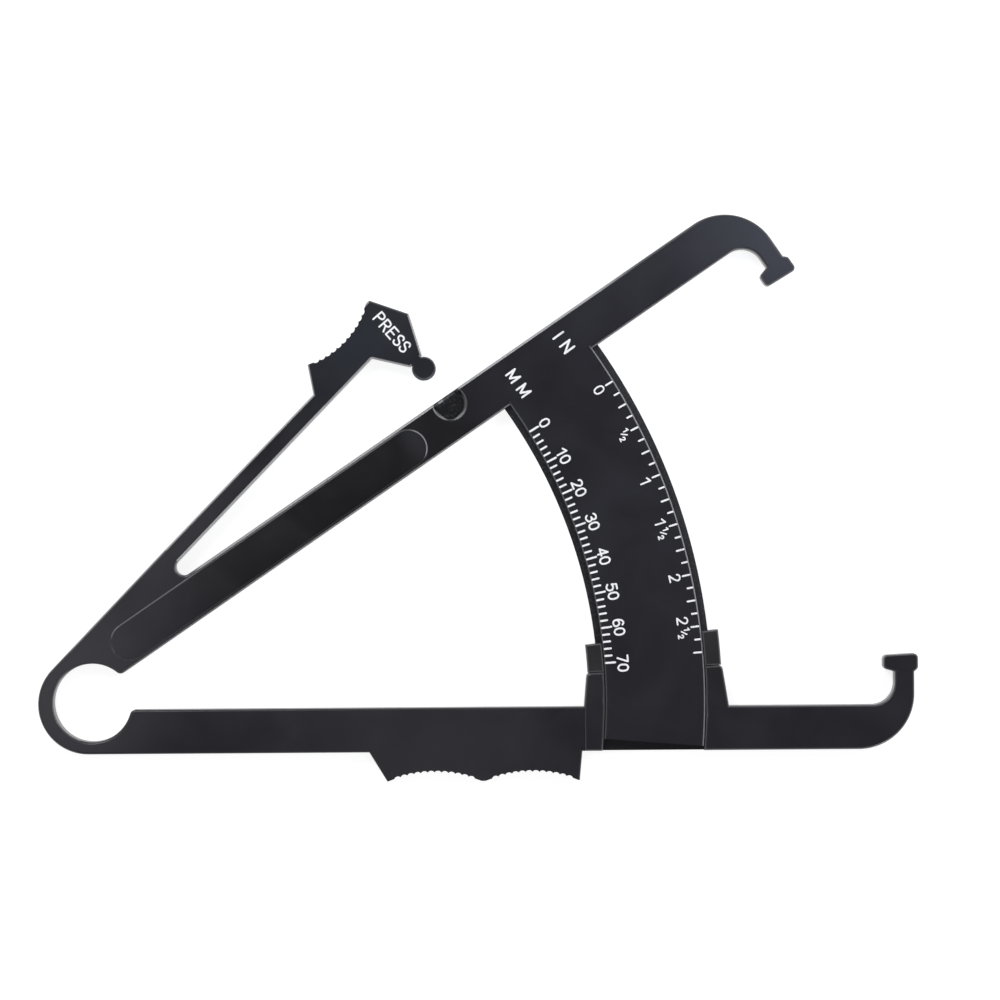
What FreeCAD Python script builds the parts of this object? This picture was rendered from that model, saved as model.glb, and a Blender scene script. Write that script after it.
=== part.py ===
"""Skinfold caliper: two hooked arms on a C-shaped spring, a press lever and an arc scale.

The caliper lies flat. Z = 0 is its back and +Z its printed front, +X runs along the lower
arm from the spring to the jaw, and the origin is the middle of the footprint. Each arm is
drawn in its own frame: x runs along the arm from the centre of the spring, and y outward,
away from the other arm. The lower arm is the mirror image of the upper one, so its sketches
take the same lengths with y negative. All lengths are millimetres and all angles degrees.
"""
import FreeCAD, Part
import os
import re
import Sketcher

SIZES = [
    # name, value, meaning
    ("thickness", "4.0", "plate thickness of both arms"),
    ("edge_round", "0.42", "rounding of the outline at the front; the back is left sharp"),
    ("face_bevel", "0.25", "bevel round the scale's face, the pads, the slide and the disc"),
    ("jaw_opening", "28.2", "angle between the two pad faces as moulded"),
    ("face_angle", "3.05", "angle of a pad face inside its arm's direction"),
    ("bar_inner", "1.31", "height of an arm's inner edge above the spring's centre"),
    ("bar_width", "8.05", "width of an arm"),
    ("spring_bore", "7.13", "radius of the hole in the C spring"),
    ("spring_back", "2.8", "width of the C spring at its back"),
    ("spring_lead", "6", "angle from the shoulder's tangent round to where the spring begins"),
    ("bore_round", "1.0", "rounding where the hole meets an arm's inner edge"),
    ("lever_angle", "11.65", "angle of the press lever above the upper arm"),
    ("root_width", "2.97", "depth of the slot's lever side below the spring's tangent"),
    ("beam_width", "3.11", "width of the lever's beam where it meets the thumb head"),
    ("shoulder_lean", "0.33", "angle of the shoulder's outer edge above the lever's direction"),
    ("slot_round", "1.5", "radius at the closed end of the slot under the lever"),
    ("press_travel", "7.87", "angle the lever turns to click into its pocket"),
    ("head_start", "68.34", "where the thumb head rises from the beam"),
    ("flank_run", "3.16", "length of the head's first slope"),
    ("flank_rise", "4.5", "rise of the head's first slope above the beam"),
    ("thumb_run", "15.4", "length of the hollow for the thumb"),
    ("thumb_radius", "17.2", "radius of the hollow for the thumb"),
    ("crest_run", "0.8", "length of the land past the hollow"),
    ("tip_run", "3.2", "length from the crest to the head's tip"),
    ("tip_drop", "6.9", "drop from the crest to the head's tip"),
    ("foot_drop", "6.2", "drop from the beam's inner edge to the head's foot"),
    ("foot_run", "3.0", "width of the head's foot, which carries the disc"),
    ("foot_back", "3.8", "length from the tip back to the foot"),
    ("heel_run", "3.7", "length from the foot back to the heel"),
    ("head_round", "0.35", "rounding of the head's corners"),
    ("disc_radius", "2.17", "radius of the click disc"),
    ("disc_drop", "1.97", "drop from the head's foot to the disc's centre"),
    ("disc_thick", "2.0", "thickness of the click disc, on the front half"),
    ("neck_width", "2.3", "width of the neck between foot and disc"),
    ("pocket_gap", "0.75", "clearance round the disc in its pocket"),
    ("pocket_lead", "0.35", "how far the pocket's centre lies past the disc's"),
    ("panel_start", "8.4", "near end of the sunk panel"),
    ("panel_length", "68.7", "length of the sunk panel"),
    ("panel_width", "7.1", "width of the sunk panel"),
    ("panel_depth", "0.4", "depth of the sunk panel"),
    ("panel_slope", "35", "slope of the sunk panel's walls"),
    ("scale_inner", "92.1", "inner radius of the arc scale"),
    ("scale_width", "20.6", "width of the arc scale"),
    ("scale_sweep", "38.7", "angle from the upper arm to the scale's far end"),
    ("scale_back", "1.6", "height of the scale's back above the arm's back"),
    ("rail_width", "1.25", "width of the stepped rail on each edge of the scale"),
    ("rail_thick", "1.2", "thickness of the stepped rails"),
    ("seat_depth", "0.6", "how deep the scale and the finger grip sit in their arms"),
    ("run_gap", "0.15", "running clearance round the scale"),
    ("guide_toe", "0.52", "foot of the scale guide short of its inner post"),
    ("guide_heel", "2.2", "foot of the scale guide past the outer post's flare"),
    ("post_wall", "1.9", "wall of a guide post beside the scale"),
    ("post_flare", "1.2", "extra width at the foot of the outer post"),
    ("post_round", "0.8", "rounding of the posts' outer corners"),
    ("slide_sweep", "3.2", "angle covered by the reading slide"),
    ("slide_wall", "1.7", "wall of the reading slide beside the scale"),
    ("slide_lead", "0.05", "angle between the slide and the guide posts"),
    ("slide_back", "0.2", "height of the slide's back above the arm's back"),
    ("grip_gap", "0.35", "space between the finger grip and the scale guide"),
    ("grip_lobe", "3.25", "length of the grip's first slope"),
    ("grip_rise", "5.33", "height of the grip below its arm"),
    ("grip_hollow", "17.2", "length of each hollow for a finger"),
    ("grip_land", "0.6", "length of the land between the two hollows"),
    ("grip_radius", "23.2", "radius of each hollow for a finger"),
    ("grip_slope", "0.5", "length of the grip's last slope"),
    ("ridge_radius", "0.75", "radius of one groove between two grip ridges"),
    ("ridge_depth", "0.3", "depth of one groove between two grip ridges"),
    ("ridge_step", "1.25", "spacing of the grip ridges"),
    ("hook_end", "149.5", "distance of the hook's outer side from the spring"),
    ("hook_outer", "10.1", "outer radius of the hook"),
    ("hook_inner", "4.0", "inner radius of the hook"),
    ("neck_thick", "3.6", "thickness of the hook's neck"),
    ("pad_back", "4.7", "how far the pad's back lies past the spring's centre line"),
    ("pad_heel", "2.0", "overhang of the pad on the inside of the neck"),
    ("pad_toe", "0.7", "overhang of the pad on the outside of the neck"),
    ("pad_bevel", "0.6", "slope of the pad's back at its heel and toe"),
    ("pad_round", "0.8", "rounding of the pad's corners"),
]

DERIVED = [
    # name, formula, meaning
    ("upper_angle", "=jaw_opening + 2 * face_angle", "angle between the two arms"),
    ("half_angle", "=upper_angle / 2", "angle from an arm to the line of symmetry"),
    ("bar_outer", "=bar_inner + bar_width", "height of an arm's outer edge"),
    ("bore_edge", "=sqrt(spring_bore^2 - bar_inner^2)", "where the hole meets the inner edge"),
    ("ring_shift", "=(spring_bore + spring_back - bar_outer) / (1 - sin(half_angle))",
     "offset of the spring's outer circle, which touches both outer edges"),
    ("ring_radius", "=spring_bore + spring_back - ring_shift", "its radius"),
    ("ring_x", "=-ring_shift * cos(half_angle)", "where its centre lies along an arm"),
    ("shoulder_angle", "=lever_angle + shoulder_lean", "direction of the shoulder's outer edge"),
    ("spring_cut", "=90 + shoulder_angle + spring_lead", "angle from an arm's direction to the spring's end"),
    ("cut_turn", "=spring_cut + half_angle", "angle of the spring's end from the symmetry line"),
    ("cut_radius", "=sqrt(ring_radius^2 - (ring_shift * sin(cut_turn))^2) - ring_shift * cos(cut_turn)",
     "distance of the spring's outer end corner from its centre"),
    ("beam_inner", "=ring_radius + ring_shift * sin(half_angle + lever_angle) - root_width",
     "height of the lever's inner edge"),
    ("beam_outer", "=beam_inner + beam_width", "height of the beam's outer edge at the head"),
    ("shoulder_x", "=-ring_shift * cos(half_angle + shoulder_angle)",
     "where the shoulder leaves the spring's outer circle, in its own frame"),
    ("shoulder_y", "=ring_radius + ring_shift * sin(half_angle + shoulder_angle)",
     "height of the shoulder's outer edge, which touches that circle"),
    ("root_x", "=(bar_outer + slot_round - (beam_inner - slot_round) * cos(lever_angle)) / sin(lever_angle)",
     "end of the slot along the lever, where its beam starts to flex"),
    ("root_outer", "=(shoulder_y + root_x * sin(shoulder_lean)) / cos(shoulder_lean)",
     "height of the beam's outer edge at its root"),
    ("slot_touch", "=root_x * cos(lever_angle) - (beam_inner - slot_round) * sin(lever_angle)",
     "where the slot's round end leaves the arm's outer edge"),
    ("crest_x", "=head_start + flank_run + thumb_run + crest_run", "the head's crest"),
    ("crest_y", "=beam_outer + flank_rise", "the head's crest"),
    ("tip_x", "=crest_x + tip_run", "the head's tip"),
    ("foot_x", "=tip_x - foot_back", "the foot's far corner"),
    ("foot_y", "=beam_inner - foot_drop", "height of the head's foot"),
    ("heel_x", "=foot_x - foot_run - heel_run", "the head's heel"),
    ("disc_x", "=foot_x - foot_run / 2", "centre of the click disc"),
    ("disc_y", "=foot_y - disc_drop", "centre of the click disc"),
    ("pivot_x", "=root_x * cos(lever_angle) - beam_inner * sin(lever_angle)",
     "the point about which the lever flexes, in the arm's frame"),
    ("pivot_y", "=root_x * sin(lever_angle) + beam_inner * cos(lever_angle)",
     "the point about which the lever flexes, in the arm's frame"),
    ("closed_angle", "=lever_angle - press_travel", "angle of the lever when it has clicked"),
    ("pocket_x", "=pivot_x + (disc_x - root_x) * cos(closed_angle)"
     " - (disc_y - beam_inner) * sin(closed_angle) + pocket_lead", "centre of the pocket"),
    ("pocket_y", "=pivot_y + (disc_x - root_x) * sin(closed_angle)"
     " + (disc_y - beam_inner) * cos(closed_angle)", "centre of the pocket"),
    ("pocket_radius", "=disc_radius + pocket_gap", "radius of the pocket"),
    ("scale_outer", "=scale_inner + scale_width", "outer radius of the arc scale"),
    ("face_inner", "=scale_inner + rail_width", "inner radius of the scale's printed face"),
    ("face_outer", "=scale_outer - rail_width", "outer radius of the scale's printed face"),
    ("rail_top", "=scale_back + rail_thick", "height of the stepped rails' front"),
    ("web_top", "=scale_back - run_gap", "front of what passes behind the scale"),
    ("lip_back", "=rail_top + run_gap", "back of the lips over the rails"),
    ("wall_inner", "=scale_inner - run_gap", "radius of the wall inside the scale"),
    ("wall_outer", "=scale_outer + run_gap", "radius of the wall outside the scale"),
    ("lip_inner", "=face_inner - run_gap", "radius to which the inner lip reaches"),
    ("lip_outer", "=face_outer + run_gap", "radius to which the outer lip reaches"),
    ("post_near", "=(wall_inner - post_wall) * cos(face_angle)", "near side of the inner post"),
    ("post_far", "=(wall_outer + post_wall) * cos(face_angle)", "far side of the outer post"),
    ("guide_start", "=post_near - guide_toe", "near end of the scale guide on the lower arm"),
    ("guide_end", "=post_far + post_flare + guide_heel", "far end of the scale guide"),
    ("grip_bottom", "=bar_outer + grip_rise", "lowest line of the finger grip"),
    ("grip_start", "=guide_start - grip_gap - grip_slope - 2 * grip_hollow - grip_land - grip_lobe",
     "near end of the finger grip"),
    ("grip_first", "=grip_start + grip_lobe", "start of the first hollow"),
    ("grip_second", "=grip_first + grip_hollow + grip_land", "start of the second hollow"),
    ("grip_last", "=grip_second + grip_hollow", "end of the second hollow"),
    ("grip_end", "=grip_last + grip_slope", "far end of the finger grip"),
    ("grip_seat", "=bar_outer - seat_depth", "line on which the grip sits in the arm"),
    ("scale_seat", "=bar_inner + seat_depth", "line on which the scale sits in the arm"),
    ("arch_x", "=hook_end - neck_thick - hook_inner", "centre of the hook's inner arc"),
    ("arch_y", "=bar_inner - hook_inner", "centre of the hook's inner arc"),
    ("bend_x", "=hook_end - hook_outer", "centre of the hook's outer arc"),
    ("bend_y", "=bar_outer - hook_outer", "centre of the hook's outer arc"),
    ("pad_near", "=hook_end - neck_thick - pad_heel", "near end of a jaw pad"),
    ("pad_far", "=hook_end + pad_toe", "far end of a jaw pad"),
    ("hook_top", "=bend_x * sin(upper_angle) + bend_y * cos(upper_angle) + hook_outer",
     "highest point above the spring's centre"),
    ("hinge_x", "=(ring_shift * cos(half_angle) + ring_radius - pad_far) / 2",
     "the spring's centre, with the footprint centred on the origin"),
    ("hinge_y", "=(grip_bottom - hook_top) / 2",
     "the spring's centre, with the footprint centred on the origin"),
]

UPPER, LOWER = 1, -1
NEAR = 0.02

doc = FreeCAD.newDocument("SkinfoldCaliper")
sheet = doc.addObject("Spreadsheet::Sheet", "Sizes")
for row, (name, content, meaning) in enumerate(SIZES + DERIVED, start=1):
    sheet.set(f"A{row}", name)
    sheet.set(f"B{row}", content)
    sheet.set(f"C{row}", meaning)
    sheet.setAlias(f"B{row}", name)
doc.recompute()
NAMES = {name for name, _, _ in SIZES + DERIVED}


def value(formula):
    """The number that a formula of sheet names gives."""
    return float(sheet.evalExpression(formula))


def linked(formula):
    """The same formula as another object of the document has to write it."""
    return re.sub(r"[a-z_]+", lambda word: f"Sizes.{word[0]}" if word[0] in NAMES else word[0], formula)


def bind(thing, **formulas):
    """Ties properties of one object to formulas of sheet names."""
    for name, formula in formulas.items():
        thing.setExpression(name, linked(formula))


def new_body(label, angle="0"):
    """A body whose frame starts at the spring's centre and turns by an angle formula."""
    body = doc.addObject("PartDesign::Body", label)
    body.Label = label
    body.setExpression("Placement.Base.x", linked("hinge_x"))
    body.setExpression("Placement.Base.y", linked("hinge_y"))
    body.setExpression("Placement.Rotation.Angle", f"({linked(angle)}) * 1 deg")
    return body


def new_sketch(body, name, height="0", role="XY_Plane", at=("0", "0")):
    """A sketch on one of the body's own planes, lifted by a height and moved to a place."""
    plane = next(item for item in body.Origin.OriginFeatures if item.Role == role)
    sketch = body.newObject("Sketcher::SketchObject", f"{body.Label}_{name}")
    sketch.AttachmentSupport = [(plane, "")]
    sketch.MapMode = "FlatFace"
    for axis, formula in zip("xyz", (*at, height)):
        sketch.setExpression(f"AttachmentOffset.Base.{axis}", linked(formula))
    return sketch


def pin(sketch, geometry, point, corner):
    """Fixes one point of a sketch at a corner given by two formulas."""
    for kind, formula in zip(("DistanceX", "DistanceY"), corner):
        start = value(formula)
        number = sketch.addConstraint(Sketcher.Constraint(kind, -1, 1, geometry, point, start))
        sketch.setExpression(f"Constraints[{number}]", linked(formula))


def outline(sketch, corners, arcs=None):
    """Closes a line through corners; arcs gives a side its radius formula and its turn.

    A turn of 1 bends the side to the left of its direction of travel, and -1 to the right.
    """
    arcs = arcs or {}
    points = [FreeCAD.Vector(value(x), value(y), 0) for x, y in corners]
    ends = []
    for side, start in enumerate(points):
        end = points[(side + 1) % len(points)]
        if side not in arcs:
            sketch.addGeometry(Part.LineSegment(start, end))
            ends.append((1, 2))
            continue
        formula, turn = arcs[side]
        radius = value(formula)
        chord = end - start
        left = FreeCAD.Vector(-chord.y, chord.x, 0).normalize()
        middle = (start + end) / 2 + left * turn * (radius**2 - chord.Length**2 / 4) ** 0.5
        first, last = (start, end) if turn > 0 else (end, start)
        along = FreeCAD.Vector(1, 0, 0)
        angles = [(point - middle).getAngle(along) * (1 if point.y >= middle.y else -1)
                  for point in (first, last)]
        circle = Part.Circle(middle, FreeCAD.Vector(0, 0, 1), radius)
        sketch.addGeometry(Part.ArcOfCircle(circle, *angles))
        ends.append((1, 2) if turn > 0 else (2, 1))
        number = sketch.addConstraint(Sketcher.Constraint("Radius", side, radius))
        sketch.setExpression(f"Constraints[{number}]", linked(formula))
    for side in range(len(points)):
        following = (side + 1) % len(points)
        sketch.addConstraint(
            Sketcher.Constraint("Coincident", side, ends[side][1], following, ends[following][0]))
    for side, corner in enumerate(corners):
        pin(sketch, side, ends[side][0], corner)
    return sketch


def circle(sketch, centre, radius):
    """A circle about a centre given by two formulas."""
    middle = FreeCAD.Vector(value(centre[0]), value(centre[1]), 0)
    index = sketch.addGeometry(Part.Circle(middle, FreeCAD.Vector(0, 0, 1), value(radius)))
    number = sketch.addConstraint(Sketcher.Constraint("Radius", index, value(radius)))
    sketch.setExpression(f"Constraints[{number}]", linked(radius))
    pin(sketch, index, 3, centre)
    return sketch


def recomputed(feature):
    """Builds a new feature and stops if it fails."""
    doc.recompute()
    if not feature.isValid():
        raise RuntimeError(f"{feature.Name} failed")
    return feature


def pad(body, sketch, length):
    """Raises a sketch towards the front by a length formula."""
    feature = body.newObject("PartDesign::Pad", f"{sketch.Name}_pad")
    feature.Profile = sketch
    bind(feature, Length=length)
    return recomputed(feature)


def pocket(body, sketch, depth, towards_front=False):
    """Cuts a sketch into its body by a depth formula, towards the back unless told."""
    before = body.Shape.Volume
    feature = body.newObject("PartDesign::Pocket", f"{sketch.Name}_pocket")
    feature.Profile = sketch
    feature.Reversed = towards_front
    bind(feature, Length=depth)
    recomputed(feature)
    if body.Shape.Volume >= before:
        raise RuntimeError(f"{feature.Name} cuts nothing")
    return feature


def dressed(body, name, kind, size, edges, left=()):
    """Fillets or chamfers the edges of a body that pass one test and none of those left out.

    The size is a pair: the name of the feature's own property and its formula.
    """
    base = body.Tip
    found = [f"Edge{number}" for number, edge in enumerate(base.Shape.Edges, start=1)
             if edges(edge) and not any(other(edge) for other in left)]
    feature = body.newObject(f"PartDesign::{kind}", f"{body.Label}_{name}")
    feature.Base = (base, found)
    bind(feature, **dict([size]))
    return recomputed(feature)


def rounded(body, name, radius, edges, left=()):
    """Rounds edges by a radius formula."""
    return dressed(body, name, "Fillet", ("Radius", radius), edges, left)


def bevelled(body, name, size, edges):
    """Bevels edges by a size formula."""
    return dressed(body, name, "Chamfer", ("Size", size), edges)


def is_upright(edge):
    """True for a straight edge that runs from back to front."""
    low, high = edge.Vertexes[0].Point, edge.Vertexes[-1].Point
    return abs(low.z - high.z) > NEAR and (low - high).cross(FreeCAD.Vector(0, 0, 1)).Length < NEAR


def stands_at(corners):
    """A test for the upright edges at corners given in the body's own frame."""
    places = [FreeCAD.Vector(value(x), value(y), 0) for x, y in corners]

    def test(edge):
        foot = FreeCAD.Vector(edge.Vertexes[0].Point.x, edge.Vertexes[0].Point.y, 0)
        return is_upright(edge) and any((foot - place).Length < NEAR for place in places)
    return test


def middle_of(edge):
    """The middle of an edge, dropped onto the back of the part."""
    middle = edge.valueAt((edge.FirstParameter + edge.LastParameter) / 2)
    return FreeCAD.Vector(middle.x, middle.y, 0)


def rims(joins):
    """A test for the outline's front edges, leaving out those on a join to a neighbour.

    A join is a pair of corners, and an edge whose middle lies on the line between them is left.
    """
    front = value("thickness")
    seams = []
    for first, last in joins:
        ends = [FreeCAD.Vector(value(x), value(y), 0) for x, y in (first, last)]
        seams.append(Part.makeLine(*ends))

    def test(edge):
        box = edge.BoundBox
        if box.ZLength > NEAR or abs(box.ZMin - front) > NEAR:
            return False
        middle = Part.Vertex(middle_of(edge))
        return all(seam.distToShape(middle)[0] > NEAR for seam in seams)
    return test


def on_circle(centre, radius):
    """A test for the edges that lie on a circle given by formulas."""
    middle = FreeCAD.Vector(value(centre[0]), value(centre[1]), 0)
    reach = value(radius)

    def test(edge):
        return abs((middle_of(edge) - middle).Length - reach) < NEAR
    return test


def mirrored(side, corners):
    """The same corners for the upper arm, or turned over for the lower arm."""
    return corners if side == UPPER else [(x, f"-({y})") for x, y in corners]


def swung(x, y, angle):
    """A corner given in a frame turned by an angle formula, in the frame that it turns in."""
    return (f"({x}) * cos({angle}) - ({y}) * sin({angle})",
            f"({x}) * sin({angle}) + ({y}) * cos({angle})")


def ridges(body, name, centre, radius, start, run):
    """Grooves along a hollow: one cut at its start, repeated round the hollow's own circle.

    The hollow's circle has a centre and a radius, and the run is the hollow's length.
    """
    sketch = new_sketch(body, name, "thickness", at=centre)
    reach = f"({radius}) + ridge_depth - ridge_radius"
    circle(sketch, (f"({reach}) * cos({start})", f"({reach}) * sin({start})"), "ridge_radius")
    groove = pocket(body, sketch, "thickness")
    count = int(value(f"({run}) / ridge_step")) - 1
    row = body.newObject("PartDesign::PolarPattern", f"{sketch.Name}_row")
    row.Originals = [groove]
    row.Axis = (sketch, ["N_Axis"])
    row.Occurrences = count
    bind(row, Angle=f"{count - 1} * ridge_step / ({radius}) * 180 / pi * 1 deg")
    body.Tip = row
    return recomputed(row)


def hollow_start(radius, run, side):
    """The angle at which the first ridge groove of a hollow lies, seen from its centre."""
    count = int(value(f"({run}) / ridge_step")) - 1
    half = f"{(count - 1) / 2} * ridge_step / ({radius}) * 180 / pi"
    return f"{90 if side == LOWER else 270} - ({half})"


def jaw_hook(label, side, angle="0"):
    """One hook: the end of an arm, bent round a quarter turn, and its straight neck."""
    body = new_body(label, angle)
    corners = mirrored(side, [
        ("guide_end", "bar_outer"),
        ("bend_x", "bar_outer"),
        ("hook_end", "bend_y"),
        ("hook_end", "-pad_back"),
        ("hook_end - neck_thick", "-pad_back"),
        ("hook_end - neck_thick", "arch_y"),
        ("arch_x", "bar_inner"),
        ("guide_end", "bar_inner"),
    ])
    sketch = new_sketch(body, "outline")
    outline(sketch, corners, {1: ("hook_outer", -side), 5: ("hook_inner", side)})
    pad(body, sketch, "thickness")
    rounded(body, "edges", "edge_round", rims([(corners[7], corners[0]), (corners[3], corners[4])]))
    return body


def jaw_pad(label, side, angle="0"):
    """One pad: the foot of a hook, whose flat face presses on the fold of skin."""
    body = new_body(label, angle)
    corners = mirrored(side, [
        ("hook_end - neck_thick", "-pad_back"),
        ("hook_end", "-pad_back"),
        ("pad_far", "-pad_back - pad_bevel"),
        ("pad_far", "-pad_far * tan(face_angle)"),
        ("pad_near", "-pad_near * tan(face_angle)"),
        ("pad_near", "-pad_back - pad_bevel"),
    ])
    sketch = new_sketch(body, "outline")
    outline(sketch, corners)
    pad(body, sketch, "thickness")
    rounded(body, "corners", "pad_round", stands_at(corners[2:]))
    bevelled(body, "edges", "face_bevel", rims([(corners[0], corners[1])]))
    return body


def hinge_spring():
    """The C-shaped spring: the thin back of the ring, open towards the jaws."""
    body = new_body("hinge_spring", "half_angle")
    corners = [
        ("spring_bore * cos(cut_turn)", "spring_bore * sin(cut_turn)"),
        ("cut_radius * cos(cut_turn)", "cut_radius * sin(cut_turn)"),
        ("cut_radius * cos(cut_turn)", "-cut_radius * sin(cut_turn)"),
        ("spring_bore * cos(cut_turn)", "-spring_bore * sin(cut_turn)"),
    ]
    sketch = new_sketch(body, "outline")
    outline(sketch, corners, {1: ("ring_radius", 1), 3: ("spring_bore", -1)})
    pad(body, sketch, "thickness")
    rounded(body, "edges", "edge_round", rims([corners[0:2], corners[2:4]]))
    return body


def lower_bar():
    """The lower arm from the spring to the scale guide, with a seat for the finger grip."""
    body = new_body("lower_bar")
    corners = mirrored(LOWER, [
        ("spring_bore * cos(spring_cut)", "spring_bore * sin(spring_cut)"),
        ("cut_radius * cos(spring_cut)", "cut_radius * sin(spring_cut)"),
        ("ring_x", "bar_outer"),
        ("grip_start", "bar_outer"),
        ("grip_start", "grip_seat"),
        ("grip_end", "grip_seat"),
        ("grip_end", "bar_outer"),
        ("guide_start", "bar_outer"),
        ("guide_start", "bar_inner"),
        ("bore_edge", "bar_inner"),
    ])
    sketch = new_sketch(body, "outline")
    outline(sketch, corners, {1: ("ring_radius", 1), 9: ("spring_bore", -1)})
    pad(body, sketch, "thickness")
    rounded(body, "corner", "bore_round", stands_at([corners[9]]))
    seams = [corners[0:2], corners[3:5], corners[4:6], corners[5:7], corners[7:9]]
    rounded(body, "edges", "edge_round", rims(seams))
    return body


def finger_grip():
    """Two ridged hollows for the fingers, below the middle of the lower arm."""
    body = new_body("finger_grip")
    corners = mirrored(LOWER, [
        ("grip_start", "grip_seat"),
        ("grip_start", "bar_outer"),
        ("grip_first", "grip_bottom"),
        ("grip_first + grip_hollow", "grip_bottom"),
        ("grip_second", "grip_bottom"),
        ("grip_last", "grip_bottom"),
        ("grip_end", "bar_outer"),
        ("grip_end", "grip_seat"),
    ])
    sketch = new_sketch(body, "outline")
    outline(sketch, corners, {2: ("grip_radius", -1), 4: ("grip_radius", -1)})
    pad(body, sketch, "thickness")
    depth = "grip_bottom + sqrt(grip_radius^2 - grip_hollow^2 / 4)"
    centres = [(f"{start} + grip_hollow / 2", f"-({depth})") for start in ("grip_first", "grip_second")]
    seams = [corners[0:2], corners[6:8], (corners[7], corners[0])]
    ridged = [on_circle(centre, "grip_radius") for centre in centres]
    rounded(body, "edges", "edge_round", rims(seams), ridged)
    for number, centre in enumerate(centres, start=1):
        ridges(body, f"ridge_{number}", centre, "grip_radius",
               hollow_start("grip_radius", "grip_hollow", LOWER), "grip_hollow")
    return body


def scale_guide():
    """The channel of the lower arm: a web behind the scale and two lipped posts beside it."""
    body = new_body("scale_guide")
    corners = mirrored(LOWER, [
        ("guide_start", "bar_outer"),
        ("guide_end", "bar_outer"),
        ("guide_end", "bar_inner"),
        ("post_far + post_flare", "bar_inner"),
        ("post_far", "-post_far * tan(face_angle)"),
        ("lip_outer * cos(face_angle)", "-lip_outer * sin(face_angle)"),
        ("sqrt(lip_outer^2 - bar_inner^2)", "bar_inner"),
        ("sqrt(lip_inner^2 - bar_inner^2)", "bar_inner"),
        ("lip_inner * cos(face_angle)", "-lip_inner * sin(face_angle)"),
        ("post_near", "-post_near * tan(face_angle)"),
        ("guide_start", "bar_inner"),
    ])
    sketch = new_sketch(body, "outline")
    outline(sketch, corners, {5: ("lip_outer", -1), 7: ("lip_inner", 1)})
    pad(body, sketch, "thickness")
    rounded(body, "corners", "post_round", stands_at([corners[4], corners[9]]))
    channel = new_sketch(body, "channel", role="XZ_Plane")
    outline(channel, [
        ("wall_inner", "web_top"),
        ("wall_outer", "web_top"),
        ("wall_outer", "lip_back"),
        ("lip_outer", "lip_back"),
        ("lip_outer", "2 * thickness"),
        ("lip_inner", "2 * thickness"),
        ("lip_inner", "lip_back"),
        ("wall_inner", "lip_back"),
    ])
    groove = body.newObject("PartDesign::Groove", "scale_guide_channel_groove")
    groove.Profile = channel
    groove.ReferenceAxis = (channel, ["V_Axis"])
    groove.Midplane = True
    bind(groove, Angle="2 * half_angle * 1 deg")
    recomputed(groove)
    seams = [(corners[10], corners[0]), corners[1:3]]
    rounded(body, "edges", "edge_round", rims(seams))
    return body


def upper_bar():
    """The upper arm from the spring to its hook, with the shoulder that carries the lever."""
    body = new_body("upper_bar", "upper_angle")
    corners = [
        ("cut_radius * cos(spring_cut)", "cut_radius * sin(spring_cut)"),
        ("spring_bore * cos(spring_cut)", "spring_bore * sin(spring_cut)"),
        ("bore_edge", "bar_inner"),
        ("guide_end", "bar_inner"),
        ("guide_end", "bar_outer"),
        ("slot_touch", "bar_outer"),
        swung("root_x", "beam_inner", "lever_angle"),
        swung("root_x", "root_outer", "lever_angle"),
        swung("shoulder_x", "shoulder_y", "shoulder_angle"),
    ]
    sketch = new_sketch(body, "outline")
    arcs = {1: ("spring_bore", -1), 5: ("slot_round", -1), 8: ("ring_radius", 1)}
    outline(sketch, corners, arcs)
    pad(body, sketch, "thickness")
    rounded(body, "corner", "bore_round", stands_at([corners[2]]))
    near = [(f"sqrt(face_inner^2 - {line}^2)", line) for line in ("bar_inner", "scale_seat")]
    far = [(f"sqrt(face_outer^2 - {line}^2)", line) for line in ("bar_inner", "scale_seat")]
    seat = new_sketch(body, "scale_seat", "thickness")
    outline(seat, [near[0], far[0], far[1], near[1]])
    pocket(body, seat, "thickness - scale_back")
    click = new_sketch(body, "click_pocket", "thickness")
    circle(click, ("pocket_x", "pocket_y"), "pocket_radius")
    pocket(body, click, "disc_thick + run_gap")
    seams = [corners[0:2], corners[3:5], corners[6:8], (near[0], near[1]), (far[0], far[1]),
             (near[1], far[1])]
    rounded(body, "edges", "edge_round", rims(seams))
    middle, half = "bar_inner + bar_width / 2", "panel_width / 2"
    low, high = f"{middle} - {half}", f"{middle} + {half}"
    panel_end = "panel_start + panel_length"
    panel = new_sketch(body, "panel", "thickness")
    outline(panel, [
        (f"panel_start + {half}", low),
        (f"{panel_end} - {half}", low),
        (panel_end, middle),
        (f"{panel_end} - {half}", high),
        (f"panel_start + {half}", high),
        ("panel_start", middle),
    ], {1: (half, 1), 2: (half, 1), 4: (half, 1), 5: (half, 1)})
    sunk = pocket(body, panel, "panel_depth")
    bind(sunk, TaperAngle="-panel_slope * 1 deg")
    recomputed(sunk)
    return body


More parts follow.
